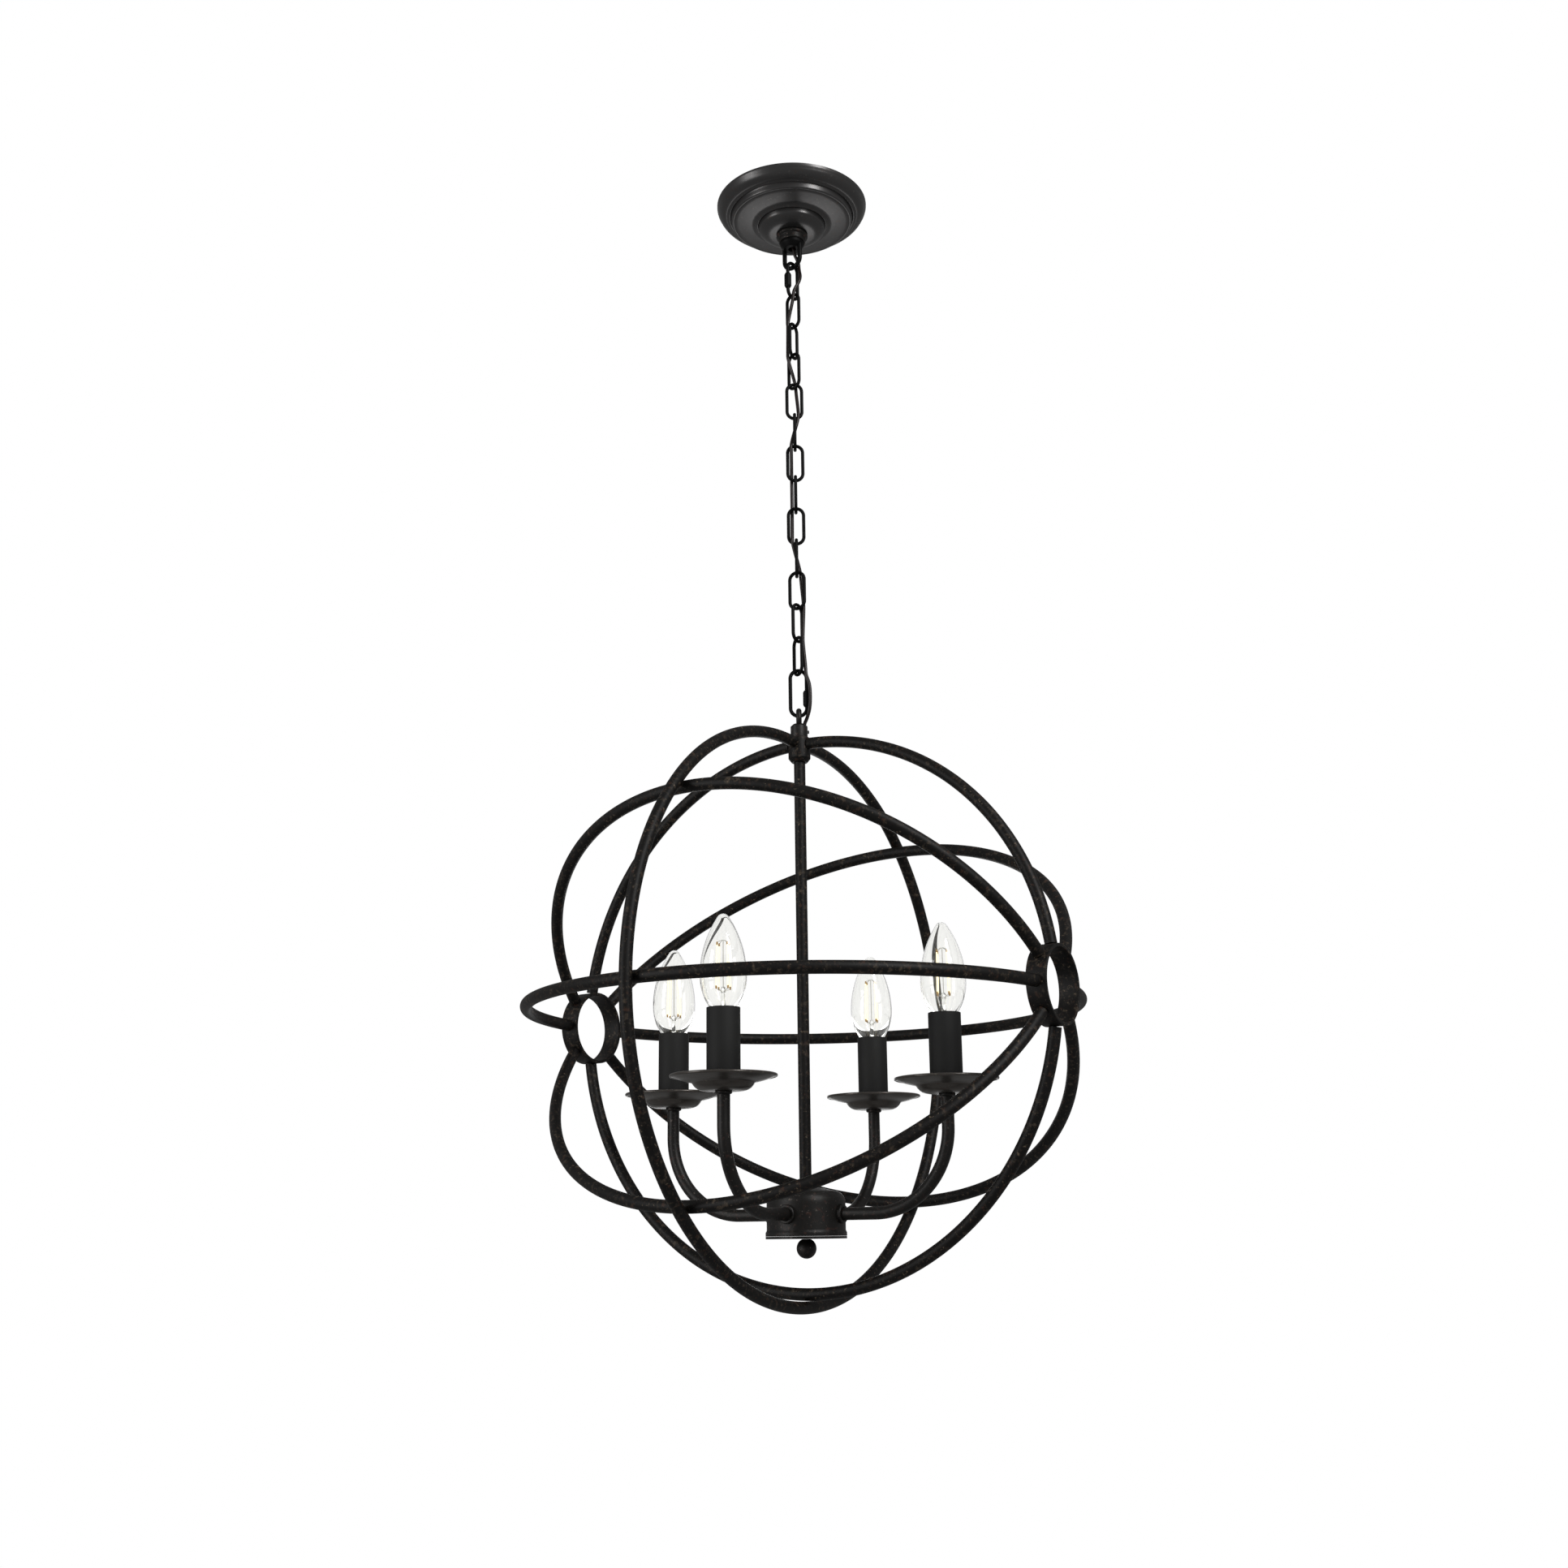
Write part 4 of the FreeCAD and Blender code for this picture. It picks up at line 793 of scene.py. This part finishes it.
route = [around(0, 0, -14.9), around(0, 0, -43.5)]
for index, (direction, reach) in enumerate(CROSSINGS):
    for shift in (CROSSING_HALF, -CROSSING_HALF):
        route.append(around(direction, reach, seats[index] + CROSSING_SHIFT + shift))
    if index == 0:
        route.append(around(-30, 8.6, (seats[0] + seats[1]) / 2))
inlet = CENTRE + BASE_TOP
route.append(around(-28, 10.9, seats[-2] - 12))
route.append(around(-28, 10.9, seats[-1] + 5))
route.append(around(-14, 6.8, inlet + 4.4))
route.append(around(0, INLET_REACH, inlet + 0.6))
route.append(around(0, INLET_REACH, inlet - 3.7))


def spline_line(points, per_span):
    """Points read from the smooth spline that has the route as its control points."""
    curve = bpy.data.curves.new("cord route", "CURVE")
    curve.dimensions = "3D"
    spline = curve.splines.new("NURBS")
    spline.points.add(len(points) - 1)
    for point, place in zip(spline.points, points):
        point.co = (*place, 1.0)
    spline.order_u = 3
    spline.use_endpoint_u = True
    spline.resolution_u = per_span
    holder = bpy.data.objects.new("cord route", curve)
    mesh = bpy.data.meshes.new_from_object(holder)
    spots = [vert.co.copy() for vert in mesh.vertices]
    bpy.data.meshes.remove(mesh)
    bpy.data.objects.remove(holder)
    bpy.data.curves.remove(curve)
    return spots


def waisted(radius, waist, sides=24):
    """The section of a two-core cord: round, with a groove on each flank."""
    section = []
    for u, v in disc(radius, sides):
        pinch = 1.0 - waist * math.exp(-(u / radius / 0.25) ** 2)
        section.append((u, v * pinch))
    return section


line = spline_line(route, 20)
cord_section = waisted(CORD_RADIUS, CORD_WAIST)
BODIES = ["ceiling_mount"] + [link_name for link_name, *_ in CHAIN] + ["orb"]
cuts = [line[0].z + 1]
for top, (_, _, length, _, _) in zip(tops, CHAIN):
    cuts.append(top - length / 2)
cuts.append(line[-1].z - 1)
for index in range(len(BODIES) - 1):
    high, low = cuts[index], cuts[index + 1]
    run = [p for p in line if low - OVERLAP <= p.z <= high + OVERLAP]
    stretch = swept(run, cord_section)
    piece = finished(f"cord {index + 1}", scaled(stretch),
                     "supply_cord" if index == 0 else None, None, CORD, 60)
    reach = 10.0
    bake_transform(piece)

# %% [markdown]
# ## Pieces kept from the CAD model
# The strap, nipple, nuts and ground screw are hidden by the canopy.  They keep their CAD
# shape and get plain finishes: zinc, and green paint for the ground screw.
#
# Lesson: detail goes where the eye does.

# %%
for node, material in (("mounting_strap", STEEL), ("threaded_nipple", STEEL),
                       ("nipple_nuts", STEEL), ("ground_screw", GREEN)):
    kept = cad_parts[node]
    kept.data.materials.clear()
    kept.data.materials.append(material)

# %% [markdown]
# ## Light and camera
# White surroundings, three soft lights and the camera where the photographer stood: a little
# below the cage's middle, looking up.
#
# Lesson: the background is white for the camera and for glass, and dimmer for the iron, so
# dark metal keeps its contrast on a white page.

# %%
world = bpy.data.worlds.new("white room")
bpy.context.scene.world = world
world.use_nodes = True
sky = world.node_tree.nodes
sky_links = world.node_tree.links
background = sky["Background"]
rays = sky.new("ShaderNodeLightPath")
seen = sky.new("ShaderNodeMath")
seen.operation = "MAXIMUM"
sky_links.new(rays.outputs["Is Camera Ray"], seen.inputs[0])
sky_links.new(rays.outputs["Is Transmission Ray"], seen.inputs[1])
SURROUNDINGS = 0.24
brightness = sky.new("ShaderNodeMapRange")
brightness.inputs["To Min"].default_value = SURROUNDINGS
brightness.inputs["To Max"].default_value = 1.0
sky_links.new(seen.outputs[0], brightness.inputs["Value"])
background.inputs["Color"].default_value = (1.0, 1.0, 1.0, 1.0)
sky_links.new(brightness.outputs["Result"], background.inputs["Strength"])

orb_middle = Vector((0, 0, CENTRE * MM))
view_angle = math.radians(VIEW_TURN)
to_right = Vector((math.cos(view_angle), math.sin(view_angle), 0))
to_viewer = Vector((math.sin(view_angle), -math.cos(view_angle), 0))


def soft_light(name, place, aim, size, power):
    """A rectangular lamp at a place, turned to face its aim."""
    light = bpy.data.lights.new(name, "AREA")
    light.shape = "RECTANGLE"
    light.size, light.size_y = size
    light.energy = power
    lamp = bpy.data.objects.new(name, light)
    lamp.location = place
    lamp.rotation_mode = "QUATERNION"
    lamp.rotation_quaternion = (aim - place).to_track_quat("-Z", "Y")
    bpy.context.scene.collection.objects.link(lamp)


soft_light("key", orb_middle + to_right * 1.1 + to_viewer * 1.4 + Vector((0, 0, 1.2)),
           aim=orb_middle, size=(0.5, 1.4), power=26)
soft_light("floor glow", Vector((0, 0, -0.75)) - to_viewer * 0.9,
           aim=Vector((0, 0, -0.02)), size=(0.5, 0.3), power=1.0)
soft_light("fill", orb_middle - to_right * 1.6 + to_viewer * 0.9 + Vector((0, 0, 0.2)),
           aim=orb_middle, size=(0.6, 1.6), power=12)

# The view was fitted to the photograph: where it stands, how far it looks up, and its roll.
azimuth, elevation, distance = 0.5640, -0.1273, 1364.2
PHOTO_WIDTH, FOCAL_PIXELS = 1932, 2105.5
pan, tilt, roll, focal = 0.0096, 0.2581, -0.0120, FOCAL_PIXELS / PHOTO_WIDTH
back = Vector((math.sin(azimuth) * math.cos(elevation), -math.cos(azimuth) * math.cos(elevation),
               math.sin(elevation)))
heading = azimuth + pan
forward = Vector((-math.sin(heading) * math.cos(tilt), math.cos(heading) * math.cos(tilt),
                  math.sin(tilt)))
right = Vector((math.cos(heading), math.sin(heading), 0))
up = right.cross(forward)
rolled_right = right * math.cos(roll) + up * math.sin(roll)
rolled_up = up * math.cos(roll) - right * math.sin(roll)
facing = Matrix((rolled_right, rolled_up, -forward)).transposed()
SENSOR = 36.0
lens = bpy.data.cameras.new("camera")
lens.sensor_width = SENSOR
lens.lens = focal * SENSOR
lens.clip_start, lens.clip_end = 0.05, 20.0
camera = bpy.data.objects.new("camera", lens)
camera.matrix_world = Matrix.Translation(orb_middle + back * distance * MM) @ facing.to_4x4()
bpy.context.scene.collection.objects.link(camera)
bpy.context.scene.camera = camera

bpy.context.scene.view_settings.view_transform = "Standard"

bpy.context.view_layer.update()
